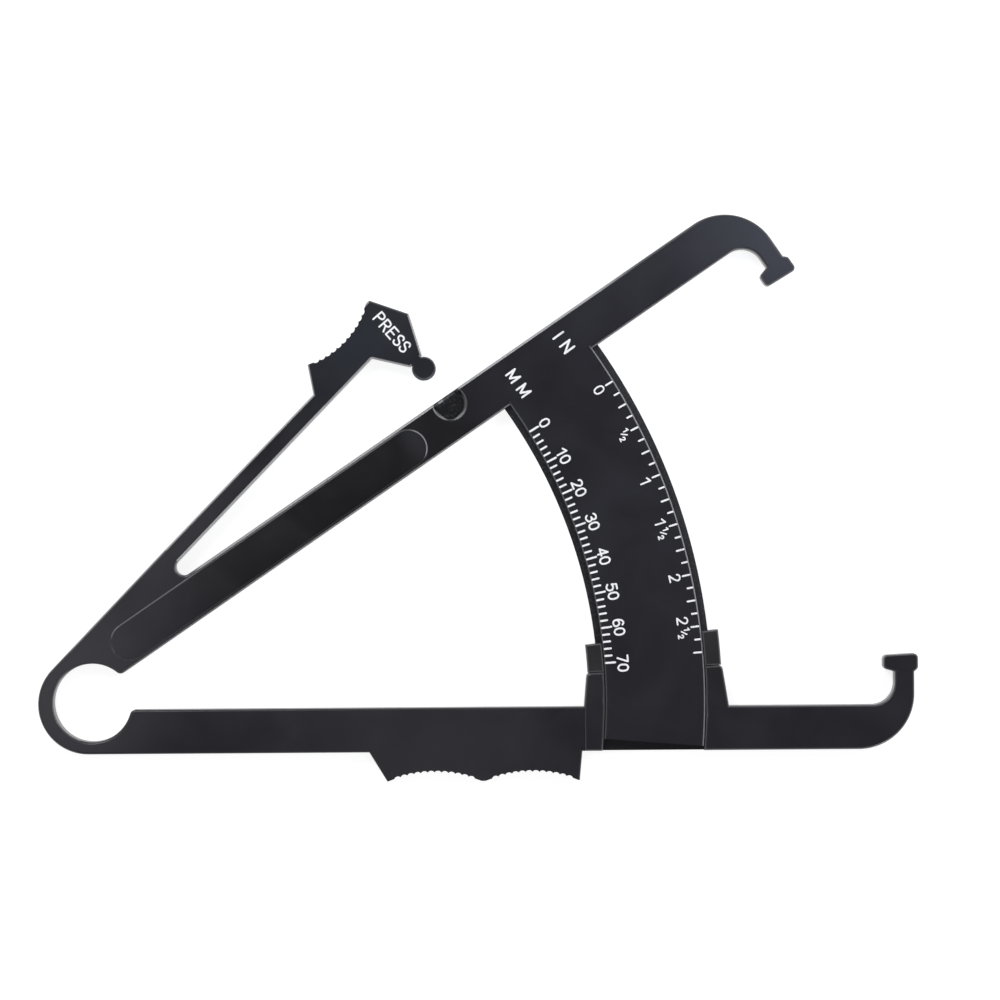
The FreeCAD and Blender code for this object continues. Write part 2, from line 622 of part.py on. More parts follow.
def scale_plate():
    """The arc that carries both scales: a printed face between two lower rails."""
    body = new_body("scale_plate", "upper_angle")
    section = new_sketch(body, "section", role="XZ_Plane")
    outline(section, [
        ("scale_inner", "scale_back"),
        ("scale_outer", "scale_back"),
        ("scale_outer", "rail_top"),
        ("face_outer", "rail_top"),
        ("face_outer", "thickness"),
        ("face_inner", "thickness"),
        ("face_inner", "rail_top"),
        ("scale_inner", "rail_top"),
    ])
    arc = body.newObject("PartDesign::Revolution", "scale_plate_arc")
    arc.Profile = section
    arc.ReferenceAxis = (section, ["V_Axis"])
    arc.Type = "TwoAngles"
    bind(arc, Angle="face_angle * 1 deg", Angle2="scale_sweep * 1 deg")
    recomputed(arc)
    near = [(f"sqrt(face_inner^2 - {line}^2)", line) for line in ("bar_inner", "scale_seat")]
    far = [(f"sqrt(face_outer^2 - {line}^2)", line) for line in ("bar_inner", "scale_seat")]
    top = "scale_outer * sin(face_angle) + seat_depth"
    trim = new_sketch(body, "trim")
    outline(trim, [
        ("scale_inner - seat_depth", "bar_inner"),
        near[0],
        near[1],
        far[1],
        far[0],
        ("scale_outer + seat_depth", "bar_inner"),
        ("scale_outer + seat_depth", top),
        ("scale_inner - seat_depth", top),
    ])
    pocket(body, trim, "thickness", towards_front=True)
    end = [("{0} * cos(scale_sweep)".format(radius), "-{0} * sin(scale_sweep)".format(radius))
           for radius in ("scale_inner", "scale_outer")]
    seams = [end, (near[0], near[1]), (near[1], far[1]), (far[0], far[1])]
    bevelled(body, "edges", "face_bevel", rims(seams))
    return body


def reading_slide():
    """The clip that the guide posts push along the scale, and that stays at the reading."""
    body = new_body("reading_slide", "face_angle + slide_lead")
    section = new_sketch(body, "section", role="XZ_Plane")
    outline(section, [
        ("wall_inner - slide_wall", "slide_back"),
        ("wall_outer + slide_wall", "slide_back"),
        ("wall_outer + slide_wall", "thickness"),
        ("lip_outer", "thickness"),
        ("lip_outer", "lip_back"),
        ("wall_outer", "lip_back"),
        ("wall_outer", "web_top"),
        ("wall_inner", "web_top"),
        ("wall_inner", "lip_back"),
        ("lip_inner", "lip_back"),
        ("lip_inner", "thickness"),
        ("wall_inner - slide_wall", "thickness"),
    ])
    arc = body.newObject("PartDesign::Revolution", "reading_slide_arc")
    arc.Profile = section
    arc.ReferenceAxis = (section, ["V_Axis"])
    bind(arc, Angle="slide_sweep * 1 deg")
    recomputed(arc)
    bevelled(body, "edges", "face_bevel", rims([]))
    return body


def press_beam():
    """The thin beam of the press lever, which flexes from the end of the slot."""
    body = new_body("press_beam", "upper_angle + lever_angle")
    corners = [
        ("root_x", "beam_inner"),
        ("head_start", "beam_inner"),
        ("head_start", "beam_outer"),
        ("root_x", "root_outer"),
    ]
    sketch = new_sketch(body, "outline")
    outline(sketch, corners)
    pad(body, sketch, "thickness")
    rounded(body, "edges", "edge_round", rims([corners[1:3], (corners[3], corners[0])]))
    return body


def thumb_head():
    """The head of the press lever, with a ridged hollow for the thumb."""
    body = new_body("thumb_head", "upper_angle + lever_angle")
    hollow = "head_start + flank_run"
    corners = [
        ("head_start", "beam_inner"),
        ("heel_x", "beam_inner"),
        ("foot_x - foot_run", "foot_y"),
        ("foot_x", "foot_y"),
        ("tip_x", "crest_y - tip_drop"),
        ("crest_x", "crest_y"),
        (f"{hollow} + thumb_run", "crest_y"),
        (hollow, "crest_y"),
        ("head_start", "beam_outer"),
    ]
    sketch = new_sketch(body, "outline")
    outline(sketch, corners, {6: ("thumb_radius", -1)})
    pad(body, sketch, "thickness")
    rounded(body, "corners", "head_round", stands_at(corners[1:6]))
    centre = (f"{hollow} + thumb_run / 2", "crest_y + sqrt(thumb_radius^2 - thumb_run^2 / 4)")
    ridged = on_circle(centre, "thumb_radius")
    rounded(body, "edges", "edge_round", rims([(corners[8], corners[0])]), [ridged])
    ridges(body, "ridge", centre, "thumb_radius", hollow_start("thumb_radius", "thumb_run", UPPER),
           "thumb_run")
    return body


def click_disc():
    """The half-thick disc under the head, which clicks into the pocket of the upper arm."""
    body = new_body("click_disc", "upper_angle + lever_angle")
    half = "neck_width / 2"
    join = f"disc_y + sqrt(disc_radius^2 - ({half})^2)"
    corners = [
        (f"disc_x + {half}", "foot_y"),
        (f"disc_x - {half}", "foot_y"),
        (f"disc_x - {half}", join),
        ("disc_x", "disc_y - disc_radius"),
        (f"disc_x + {half}", join),
    ]
    sketch = new_sketch(body, "outline", "thickness - disc_thick")
    outline(sketch, corners, {2: ("disc_radius", 1), 3: ("disc_radius", 1)})
    pad(body, sketch, "disc_thick")
    bevelled(body, "edges", "face_bevel", rims([corners[0:2]]))
    return body


members = [
    hinge_spring(),
    lower_bar(),
    finger_grip(),
    scale_guide(),
    jaw_hook("lower_hook", LOWER),
    jaw_pad("lower_jaw_pad", LOWER),
    upper_bar(),
    scale_plate(),
    jaw_hook("upper_hook", UPPER, "upper_angle"),
    jaw_pad("upper_jaw_pad", UPPER, "upper_angle"),
    press_beam(),
    thumb_head(),
    click_disc(),
    reading_slide(),
]
doc.recompute()

for thing in doc.Objects:
    if {"Invalid", "Error"} & set(thing.State):
        raise RuntimeError(f"{thing.Name} failed: {thing.State}")
os.makedirs("parts", exist_ok=True)
for member in members:
    shape = member.Shape
    if shape.isNull() or not shape.isValid() or len(shape.Solids) != 1:
        raise RuntimeError(f"{member.Label} is not one valid solid")
    shape.exportStep(f"parts/{member.Label}.step")
    print(f"{member.Label}: {shape.Volume:.1f} mm3")
print("spring centre", value("hinge_x"), value("hinge_y"))
print("lever pivot", *(value(formula) for formula in swung("pivot_x", "pivot_y", "upper_angle")))
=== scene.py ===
import math

import bmesh
import bpy
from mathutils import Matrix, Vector
from mathutils.geometry import delaunay_2d_cdt


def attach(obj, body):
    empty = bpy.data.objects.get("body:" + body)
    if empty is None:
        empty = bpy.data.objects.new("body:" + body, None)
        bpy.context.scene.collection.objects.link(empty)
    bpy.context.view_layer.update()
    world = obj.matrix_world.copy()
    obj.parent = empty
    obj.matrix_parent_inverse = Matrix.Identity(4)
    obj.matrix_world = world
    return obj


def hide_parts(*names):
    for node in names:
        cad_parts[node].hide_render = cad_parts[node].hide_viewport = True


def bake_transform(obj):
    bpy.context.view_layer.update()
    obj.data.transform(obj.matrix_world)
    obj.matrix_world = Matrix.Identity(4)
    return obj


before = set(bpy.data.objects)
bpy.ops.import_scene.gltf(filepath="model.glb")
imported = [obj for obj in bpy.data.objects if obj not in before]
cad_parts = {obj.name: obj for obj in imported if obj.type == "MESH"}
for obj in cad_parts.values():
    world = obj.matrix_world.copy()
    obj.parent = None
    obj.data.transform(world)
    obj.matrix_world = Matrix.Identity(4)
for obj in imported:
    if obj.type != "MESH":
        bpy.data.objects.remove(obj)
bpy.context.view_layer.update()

# ---------------------------------------------------------------------------------------------
# The moulding: both arms, the lever, the scale plate and the grips are one injection moulding
# of black plastic with a satin skin. The mould leaves a fine grain and faint cloudy flow, and
# the rounded edges are painted a little lighter, a painted highlight.
# ---------------------------------------------------------------------------------------------
MM = 0.001
PLASTIC_BLACK = (0.0132, 0.0126, 0.0164, 1)
PLASTIC_CLOUD = (0.0170, 0.0170, 0.0220, 1)
PLASTIC_EDGE_HIGHLIGHT = (0.085, 0.085, 0.092, 1)
PLASTIC_ROUGH = (0.28, 0.34)
CLOUD_SIZE = 14 * MM
GRAIN_SIZE = 0.42 * MM
GRAIN_DEEP = 0.02 * MM


def node(tree, kind, links=None, **settings):
    """Adds a shader or geometry node, sets its properties and feeds its named sockets."""
    made = tree.nodes.new(kind)
    for key, setting in settings.items():
        setattr(made, key, setting)
    for socket, source in (links or {}).items():
        if isinstance(source, bpy.types.NodeSocket):
            tree.links.new(source, made.inputs[socket])
        else:
            made.inputs[socket].default_value = source
    return made


def maths(tree, operation, first, second=0.0, **settings):
    """The outcome of one sum on two numbers or sockets."""
    return node(tree, "ShaderNodeMath", {0: first, 1: second}, operation=operation, **settings).outputs[0]


def node_group(name, kind, inputs, outputs):
    """A node group with named sockets, and its Group Input and Group Output nodes."""
    group = bpy.data.node_groups.new(name, kind)
    for socket, (form, start) in inputs.items():
        made = group.interface.new_socket(socket, in_out="INPUT", socket_type=form)
        if start is not None:
            made.default_value = start
    for socket, form in outputs.items():
        group.interface.new_socket(socket, in_out="OUTPUT", socket_type=form)
    return group, group.nodes.new("NodeGroupInput"), group.nodes.new("NodeGroupOutput")


def moulded_skin():
    """Cloudy flow, fine grain and rounded edges of a moulded surface, as masks and a height."""
    inputs = {
        "Cloud Size": ("NodeSocketFloat", CLOUD_SIZE),
        "Grain Size": ("NodeSocketFloat", GRAIN_SIZE),
    }
    outputs = {
        "Cloud": "NodeSocketFloat",
        "Edge": "NodeSocketFloat",
        "Grain": "NodeSocketFloat",
        "Speckle": "NodeSocketFloat",
    }
    group, given, result = node_group("moulded_skin", "ShaderNodeTree", inputs, outputs)
    place = node(group, "ShaderNodeTexCoord")
    cloud_scale = maths(group, "DIVIDE", 1.0, given.outputs["Cloud Size"])
    grain_scale = maths(group, "DIVIDE", 1.0, given.outputs["Grain Size"])
    cloud = node(group, "ShaderNodeTexNoise", {
        "Vector": place.outputs["Object"],
        "Scale": cloud_scale,
        "Detail": 4.0,
        "Roughness": 0.55,
        "Distortion": 0.6,
    })
    spread = node(group, "ShaderNodeMapRange", {
        "Value": cloud.outputs["Fac"],
        "From Min": 0.35,
        "From Max": 0.68,
    })
    grain = node(group, "ShaderNodeTexNoise", {
        "Vector": place.outputs["Object"],
        "Scale": grain_scale,
        "Detail": 3.0,
        "Roughness": 0.6,
    })
    speckle = node(group, "ShaderNodeMapRange", {
        "Value": grain.outputs["Fac"],
        "From Min": 0.46,
        "From Max": 0.64,
    })
    facing = node(group, "ShaderNodeSeparateXYZ", {"Vector": place.outputs["Normal"]}).outputs["Z"]
    slope = maths(group, "MULTIPLY", facing, maths(group, "SUBTRACT", 1.0, facing))
    edge = maths(group, "MULTIPLY", slope, 4.0, use_clamp=True)
    group.links.new(spread.outputs["Result"], result.inputs["Cloud"])
    group.links.new(edge, result.inputs["Edge"])
    group.links.new(grain.outputs["Fac"], result.inputs["Grain"])
    group.links.new(speckle.outputs["Result"], result.inputs["Speckle"])
    return group


skin = moulded_skin()


def moulded_plastic(
    name, dark=PLASTIC_BLACK, cloudy=PLASTIC_CLOUD, edge=PLASTIC_EDGE_HIGHLIGHT, rough=PLASTIC_ROUGH
):
    """A satin moulded plastic: clouded colour, painted highlight on rounded edges, fine grain."""
    material = bpy.data.materials.new(name)
    material.use_nodes = True
    tree = material.node_tree
    shader = tree.nodes["Principled BSDF"]
    marks = node(tree, "ShaderNodeGroup", node_tree=skin)
    body = node(tree, "ShaderNodeMix", {
        "Factor": marks.outputs["Cloud"],
        6: dark,
        7: cloudy,
    }, data_type="RGBA")
    # Painted highlight: the edge colour is laid over the rounded edges where the Edge mask is high.
    painted_glint = node(tree, "ShaderNodeMix", {
        "Factor": marks.outputs["Edge"],
        6: body.outputs[2],
        7: edge,
    }, data_type="RGBA")
    roughness = node(tree, "ShaderNodeMapRange", {
        "Value": marks.outputs["Cloud"],
        "To Min": rough[0],
        "To Max": rough[1],
    })
    relief = node(tree, "ShaderNodeBump", {
        "Strength": 0.35,
        "Distance": GRAIN_DEEP,
        "Height": marks.outputs["Grain"],
    })
    tree.links.new(painted_glint.outputs[2], shader.inputs["Base Color"])
    tree.links.new(roughness.outputs["Result"], shader.inputs["Roughness"])
    tree.links.new(relief.outputs["Normal"], shader.inputs["Normal"])
    return material


def coat(material, *labels):
    """Gives a material to solids of the moulding or the slide."""
    for label in labels:
        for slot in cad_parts[label].material_slots:
            slot.material = material


plastic = moulded_plastic("satin black plastic")
coat(plastic, *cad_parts)

# ---------------------------------------------------------------------------------------------
# The C-spring: the thin back of the ring, moulded with both arms. It bends as the arms are
# squeezed; here it is one smooth sweep round the back of the ring, from the upper arm to the
# lower arm.
# ---------------------------------------------------------------------------------------------
HINGE = Vector((-70.15297, -36.67711)) * MM
MIDDLE = math.radians(17.15)
THICK = 4.0 * MM
EDGE_ROUND = 0.42 * MM
BORE_RADIUS = 7.13 * MM
RING_RADIUS = 9.12162 * MM
RING_SHIFT = 0.80838 * MM
SPRING_CUT = math.radians(125.13)
SPRING_STATIONS = 73
ARC_STEPS = 6
FLAT_HOLD = 0.05 * MM
CREASE = math.radians(30)
ROUNDED_SIDES = {*range(2, 1 + ARC_STEPS), *range(6 + ARC_STEPS, 5 + 2 * ARC_STEPS)}


def direction(angle):
    """A step of length 1 along an angle, on the table."""
    return Vector((math.cos(angle), math.sin(angle)))


def bar_section(width):
    """Heights and places across a bar: square back, rounded front, flats held by extra points."""
    side = [(0, 0), (0, THICK - EDGE_ROUND - FLAT_HOLD)]
    for step in range(ARC_STEPS + 1):
        turn = math.pi / 2 * step / ARC_STEPS
        across = EDGE_ROUND * (1 - math.cos(turn))
        side.append((across, THICK - EDGE_ROUND * (1 - math.sin(turn))))
    side.append((EDGE_ROUND + FLAT_HOLD, THICK))
    return side + [(width - across, height) for across, height in reversed(side)]


def in_scene(name, data):
    """An object that holds the data, in the scene and at the origin."""
    made = bpy.data.objects.new(name, data)
    bpy.context.scene.collection.objects.link(made)
    return made


def swept_bar(name, stations, edge_material):
    """A closed bar whose section runs between pairs of points, one pair for each station."""
    mesh = bpy.data.meshes.new(name)
    shape = bmesh.new()
    rings = []
    for near, far in stations:
        run = (far - near).normalized()
        ring = []
        for across, height in bar_section((far - near).length):
            place = near + run * across
            ring.append(shape.verts.new((place.x, place.y, height)))
        rings.append(ring)
    for ring, following in zip(rings, rings[1:]):
        for corner in range(len(ring)):
            step = (corner + 1) % len(ring)
            side = shape.faces.new((ring[corner], ring[step], following[step], following[corner]))
            side.material_index = int(corner in ROUNDED_SIDES)
    shape.faces.new(rings[0])
    shape.faces.new(rings[-1])
    bmesh.ops.recalc_face_normals(shape, faces=shape.faces)
    shape.to_mesh(mesh)
    shape.free()
    mesh.shade_smooth()
    mesh.set_sharp_from_angle(angle=CREASE)
    mesh.materials.append(plastic)
    mesh.materials.append(edge_material)
    return in_scene(name, mesh)


def ring_reach(angle):
    """How far the ring's outer circle lies from the hinge, along an angle from the middle line."""
    along = RING_SHIFT * math.cos(angle)
    across = RING_SHIFT * math.sin(angle)
    return math.sqrt(RING_RADIUS ** 2 - across ** 2) - along


spring_stations = []
for index in range(SPRING_STATIONS):
    swing = SPRING_CUT + (2 * math.pi - 2 * SPRING_CUT) * index / (SPRING_STATIONS - 1)
    ray = direction(swing + MIDDLE)
    spring_stations.append((HINGE + ray * BORE_RADIUS, HINGE + ray * ring_reach(swing)))
spring = swept_bar("c_spring", spring_stations, plastic)
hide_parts("hinge_spring")
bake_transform(spring)

# ---------------------------------------------------------------------------------------------
# The press beam: the thin tapered strip that carries the thumb head. It is moulded with the
# upper arm and flexes from the end of the slot when the head is pressed. Both of its rounded
# edges take a paler material, a painted highlight.
# ---------------------------------------------------------------------------------------------
LEVER_ANGLE = math.radians(45.95)
LEVER_ACROSS = LEVER_ANGLE + math.pi / 2
BEAM_ROOT = 29.330 * MM
BEAM_END = 68.34 * MM
BEAM_INNER = 6.5411 * MM
BEAM_OUTER = 9.6511 * MM
BEAM_OUTER_ROOT = 9.6842 * MM
BEAM_STATIONS = 41
EDGE_HIGHLIGHT_GREYS = ((0.27, 0.27, 0.28, 1), (0.32, 0.32, 0.33, 1), (0.34, 0.34, 0.35, 1))

along_beam = direction(LEVER_ANGLE)
across_beam = direction(LEVER_ACROSS)
beam_stations = []
for index in range(BEAM_STATIONS):
    part = index / (BEAM_STATIONS - 1)
    reach = BEAM_ROOT + (BEAM_END - BEAM_ROOT) * part
    outer = BEAM_OUTER_ROOT + (BEAM_OUTER - BEAM_OUTER_ROOT) * part
    foot = HINGE + along_beam * reach
    beam_stations.append((foot + across_beam * BEAM_INNER, foot + across_beam * outer))
# Painted highlight: the rounded sides of the beam take this pale material.
painted_highlight = moulded_plastic("burnished edge plastic", *EDGE_HIGHLIGHT_GREYS)
beam = swept_bar("flex_beam", beam_stations, painted_highlight)
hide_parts("press_beam")
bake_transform(beam)

# ---------------------------------------------------------------------------------------------
# The upper arm and its hook: the same moulding, with a long sunk panel and a deep pocket for
# the disc. Painted shade darkens the middle of the arm, the sunk panel and the pocket floor,
# and a painted reflection lightens the panel floor toward its far end. Painted highlights lie
# on some rounded edges and walls and on the pocket's rim, foot and mouth. The pocket floor is
# also scuffed, and streaked paler toward its open mouth.
# ---------------------------------------------------------------------------------------------
ARM_ANGLE = 2 * MIDDLE
ARM_ACROSS = ARM_ANGLE + math.pi / 2
BAR_BACK = 9.36 * MM
PANEL_FLOOR = 3.6 * MM
PANEL_END = 77.1 * MM
POCKET_FLOOR = 1.85 * MM
POCKET_PLACE = Vector((84.441, 7.887)) * MM
POCKET_RADIUS = 2.92 * MM
SLACK = 0.06 * MM
# Four stops in millimetres, along the arm (run) or across it (span): see faded() below.
PAINTED_SHADE_RUN = (20, 40, 84, 96)
LOW_EDGE_HIGHLIGHT_RUN = (20, 40, 88, 100)
BACK_EDGE_HIGHLIGHT_RUN = (28, 31, 116, 128)
SHOULDER_RUN = (0, 4, 28, 31)
SHOULDER_LINE = (8.6 * MM, 9.0 * MM)
PANEL_SPAN = (-7.64, -7.58, -0.45, -0.42)
FAR_WALL_RUN = (-2.6, -1.0, 0, 0.1)
FAR_WALL_SPAN = (-7.6, -6.5, -2.3, -1.1)
MOUTH_SPAN = (-0.62, -0.42, -0.22, -0.08)
MOUTH_HIGHLIGHT_RUN = (-1.9, -1.5, -0.9, -0.5)
# Where the pocket's rim and wall foot get a painted highlight: bearing in degrees, width and share.
POCKET_GLINT = ((230, 0.42 * MM, 1.0), (314, 0.28 * MM, 1.0), (5, 0.9 * MM, 0.4))
PAINTED_SHADE_BLACK = (0.0058, 0.0054, 0.0068, 1)
PANEL_SHADE_BLACK = (0.0050, 0.0047, 0.0056, 1)
PANEL_END_REFLECTION_GREY = (0.030, 0.030, 0.036, 1)
LOW_EDGE_HIGHLIGHT_GREY = (0.105, 0.103, 0.112, 1)
NEAR_LINE_HIGHLIGHT_GREY = (0.17, 0.17, 0.18, 1)
BACK_EDGE_HIGHLIGHT_PALE = (0.36, 0.36, 0.37, 1)
SHOULDER_HIGHLIGHT_PALE = (0.22, 0.22, 0.23, 1)
FAR_WALL_HIGHLIGHT_PALE = (0.42, 0.42, 0.44, 1)
POCKET_SHADE_BLACK = (0.0100, 0.0100, 0.0122, 1)
SCUFF_GREY = (0.10, 0.10, 0.105, 1)
MOUTH_GREY = (0.13, 0.13, 0.135, 1)
MOUTH_HIGHLIGHT_PALE = (0.45, 0.45, 0.47, 1)
RIM_HIGHLIGHT_PALE = (0.26, 0.26, 0.27, 1)
FOOT_HIGHLIGHT_PALE = (0.36, 0.36, 0.38, 1)


def ramped(tree, value, start, end):
    """0 where the value is at the start, 1 where it is at the end, and smooth between."""
    return node(tree, "ShaderNodeMapRange", {
        "Value": value,
        "From Min": start,
        "From Max": end,
    }, interpolation_type="SMOOTHSTEP").outputs["Result"]


def product(tree, *factors):
    """The product of several masks."""
    made = factors[0]
    for factor in factors[1:]:
        made = maths(tree, "MULTIPLY", made, factor)
    return made


def faded(tree, value, datum, stops):
    """1 between the middle two of four stops, in millimetres from a datum, 0 past the outer two."""
    low, risen, falling, high = (datum + stop * MM for stop in stops)
    return product(tree, ramped(tree, value, low, risen), ramped(tree, value, high, falling))


def overlaid(material, mask, share, colour):
    """Lays a share of another colour over a material's own where the mask is 1."""
    tree = material.node_tree
    skin_colour = tree.nodes["Principled BSDF"].inputs["Base Color"]
    mixed = node(tree, "ShaderNodeMix", {
        "Factor": product(tree, mask, share),
        6: skin_colour.links[0].from_socket,
        7: colour,
    }, data_type="RGBA")
    tree.links.new(mixed.outputs[2], skin_colour)


def along_line(tree, start, angle):
    """How far a place on a piece lies from a point, along an angle."""
    place = node(tree, "ShaderNodeTexCoord")
    offset = node(tree, "ShaderNodeVectorMath", {
        0: place.outputs["Object"],
        1: start.to_3d(),
    }, operation="SUBTRACT")
    return node(tree, "ShaderNodeVectorMath", {
        0: offset.outputs["Vector"],
        1: direction(angle).to_3d(),
    }, operation="DOT_PRODUCT").outputs["Value"]


def distance_round(tree, middle):
    """How far a place on a piece lies from an upright axis."""
    flat = node(tree, "ShaderNodeCombineXYZ", {
        "X": along_line(tree, middle, 0),
        "Y": along_line(tree, middle, math.pi / 2),
    })
    return node(tree, "ShaderNodeVectorMath", {0: flat.outputs[0]}, operation="LENGTH").outputs["Value"]


def height_above(tree):
    """The height of a place on a piece above the table."""
    place = node(tree, "ShaderNodeTexCoord")
    return node(tree, "ShaderNodeSeparateXYZ", {"Vector": place.outputs["Object"]}).outputs["Z"]


def facing_up(tree):
    """1 on a flat face that looks up, 0 on walls and undersides."""
    place = node(tree, "ShaderNodeTexCoord")
    facing = node(tree, "ShaderNodeSeparateXYZ", {"Vector": place.outputs["Normal"]})
    return ramped(tree, facing.outputs["Z"], 0.6, 0.9)


def edge_facing(tree, marks, angle):
    """1 on the rounded edges that look along an angle, 0 on the others and on flat faces."""
    place = node(tree, "ShaderNodeTexCoord")
    lean = node(tree, "ShaderNodeVectorMath", {
        0: place.outputs["Normal"],
        1: direction(angle).to_3d(),
    }, operation="DOT_PRODUCT")
    toward = ramped(tree, lean.outputs["Value"], 0.06, 0.24)
    return product(tree, toward, ramped(tree, marks.outputs["Edge"], 0.05, 0.4))


arm_plastic = moulded_plastic("upper arm plastic")
tree = arm_plastic.node_tree
marks = node(tree, "ShaderNodeGroup", node_tree=skin)
reach = along_line(tree, HINGE, ARM_ANGLE)
across = along_line(tree, HINGE, ARM_ACROSS)
height = height_above(tree)
# Painted shade: the middle of the arm is painted darker, broken up by the cloud.
mottled = ramped(tree, marks.outputs["Cloud"], 1.6, 0.4)
painted_shade = product(tree, faded(tree, reach, 0, PAINTED_SHADE_RUN), mottled)
overlaid(arm_plastic, painted_shade, 0.72, PAINTED_SHADE_BLACK)
# Painted shade: the sunk panel's floor is painted darker still where the arm's middle is.
sunk = ramped(tree, height, PANEL_FLOOR + 2 * SLACK, PANEL_FLOOR + SLACK)
overlaid(arm_plastic, product(tree, sunk, painted_shade), 0.62, PANEL_SHADE_BLACK)
# Painted reflection: the sunk floor is painted lighter toward the panel's far end.
far_end = ramped(tree, reach, PANEL_END - 5 * MM, PANEL_END - 1 * MM)
overlaid(arm_plastic, product(tree, sunk, far_end), 0.6, PANEL_END_REFLECTION_GREY)
walls = product(
    tree,
    ramped(tree, height, PANEL_FLOOR + 0.2 * SLACK, PANEL_FLOOR + SLACK),
    ramped(tree, height, THICK - 0.2 * SLACK, THICK - SLACK),
    faded(tree, across, BAR_BACK, PANEL_SPAN),
    ramped(tree, reach, PANEL_END + 0.1 * MM, PANEL_END),
)
# The panel's walls mostly take the plain cloud colour, without the painted edge highlight.
overlaid(arm_plastic, walls, 0.85, PLASTIC_CLOUD)
# Painted highlight on the rounded edges along the arm's inner side, over its middle.
low_edge_highlight = product(
    tree,
    edge_facing(tree, marks, ARM_ANGLE - math.pi / 2),
    faded(tree, reach, 0, LOW_EDGE_HIGHLIGHT_RUN),
)
overlaid(arm_plastic, low_edge_highlight, 0.9, LOW_EDGE_HIGHLIGHT_GREY)
# Painted highlight: a pale line on the panel's back wall, out to about 30 mm from the hinge.
near_line_highlight = product(
    tree,
    walls,
    ramped(tree, across, BAR_BACK - 2 * MM, BAR_BACK - 1 * MM),
    ramped(tree, reach, SHOULDER_RUN[3] * MM, SHOULDER_RUN[2] * MM),
)
overlaid(arm_plastic, near_line_highlight, 0.7, NEAR_LINE_HIGHLIGHT_GREY)
# Painted highlight on the arm's rounded back edge, from about 30 to 120 mm out.
back_edge_highlight = product(
    tree,
    ramped(tree, height, THICK - 0.46 * MM, THICK - 0.40 * MM),
    ramped(tree, across, BAR_BACK - 0.46 * MM, BAR_BACK - 0.40 * MM),
    faded(tree, reach, 0, BACK_EDGE_HIGHLIGHT_RUN),
)
overlaid(arm_plastic, back_edge_highlight, 0.8, BACK_EDGE_HIGHLIGHT_PALE)
# Painted highlight on the shoulder's outer rounded edge, in line with the lever.
shoulder_highlight = product(
    tree,
    edge_facing(tree, marks, LEVER_ACROSS),
    ramped(tree, along_line(tree, HINGE, LEVER_ACROSS), *SHOULDER_LINE),
    faded(tree, reach, 0, SHOULDER_RUN),
)
overlaid(arm_plastic, shoulder_highlight, 0.8, SHOULDER_HIGHLIGHT_PALE)
# Painted highlight on the wall round the panel's far end.
far_wall_highlight = product(
    tree,
    walls,
    faded(tree, reach, PANEL_END, FAR_WALL_RUN),
    faded(tree, across, BAR_BACK, FAR_WALL_SPAN),
)
overlaid(arm_plastic, far_wall_highlight, 0.9, FAR_WALL_HIGHLIGHT_PALE)
# Painted shade: the pocket's floor is painted darker.
pocket_bed = ramped(tree, height, POCKET_FLOOR + 3 * SLACK, POCKET_FLOOR + SLACK)
deep = product(tree, facing_up(tree), pocket_bed)
overlaid(arm_plastic, deep, 1.0, POCKET_SHADE_BLACK)
scuffed = ramped(tree, marks.outputs["Grain"], 0.52, 0.70)
overlaid(arm_plastic, product(tree, deep, scuffed), 0.5, SCUFF_GREY)
# The floor is streaked paler toward the pocket's open mouth.
mouth = product(tree, deep, faded(tree, across, BAR_BACK, MOUTH_SPAN))
streaky = ramped(tree, marks.outputs["Grain"], 0.34, 0.56)
overlaid(arm_plastic, product(tree, mouth, streaky), 0.8, MOUTH_GREY)
# Painted highlight: a short pale stretch on the floor along the pocket's open mouth.
mouth_highlight = product(tree, mouth, faded(tree, reach, POCKET_PLACE.x, MOUTH_HIGHLIGHT_RUN))
overlaid(arm_plastic, mouth_highlight, 0.8, MOUTH_HIGHLIGHT_PALE)
pocket_middle = HINGE + direction(ARM_ANGLE) * POCKET_PLACE.x + direction(ARM_ACROSS) * POCKET_PLACE.y
from_pocket = distance_round(tree, pocket_middle)
# Painted highlight on the pocket's rim and at the foot of its wall, on the sides listed above.
painted_glint = 0.0
for bearing, spread, share in POCKET_GLINT:
    side = along_line(tree, pocket_middle, math.radians(bearing))
    near_side = ramped(tree, side, POCKET_RADIUS - spread, POCKET_RADIUS - spread / 3)
    painted_glint = maths(tree, "MAXIMUM", painted_glint, product(tree, near_side, share))
rim = product(
    tree,
    ramped(tree, height, THICK - 8 * SLACK, THICK - 6 * SLACK),
    ramped(tree, from_pocket, POCKET_RADIUS + 0.30 * MM, POCKET_RADIUS + 0.16 * MM),
    ramped(tree, across, BAR_BACK - 0.4 * MM, BAR_BACK - 0.9 * MM),
    painted_glint,
)
overlaid(arm_plastic, rim, 0.8, RIM_HIGHLIGHT_PALE)
foot = ramped(tree, from_pocket, POCKET_RADIUS - 0.30 * MM, POCKET_RADIUS - 0.18 * MM)
overlaid(arm_plastic, product(tree, deep, foot, painted_glint), 0.8, FOOT_HIGHLIGHT_PALE)
coat(arm_plastic, "upper_bar", "upper_hook")

# ---------------------------------------------------------------------------------------------
# The scale plate: two stepped rails carry the clip, and the clip's run has left them speckled;
# the outer rail is painted paler, as painted light. The printed face ends at a crisp edge, with
# a painted highlight along its outer side.
# ---------------------------------------------------------------------------------------------
RAIL_TOP = 2.8 * MM
FACE_EDGE = 111.45 * MM
OUTER_RAIL_LIGHT_GREY = (0.026, 0.026, 0.030, 1)
RAIL_SPECKLE = (0.055, 0.055, 0.060, 1)
FACE_EDGE_HIGHLIGHT_PALE = (0.22, 0.22, 0.23, 1)

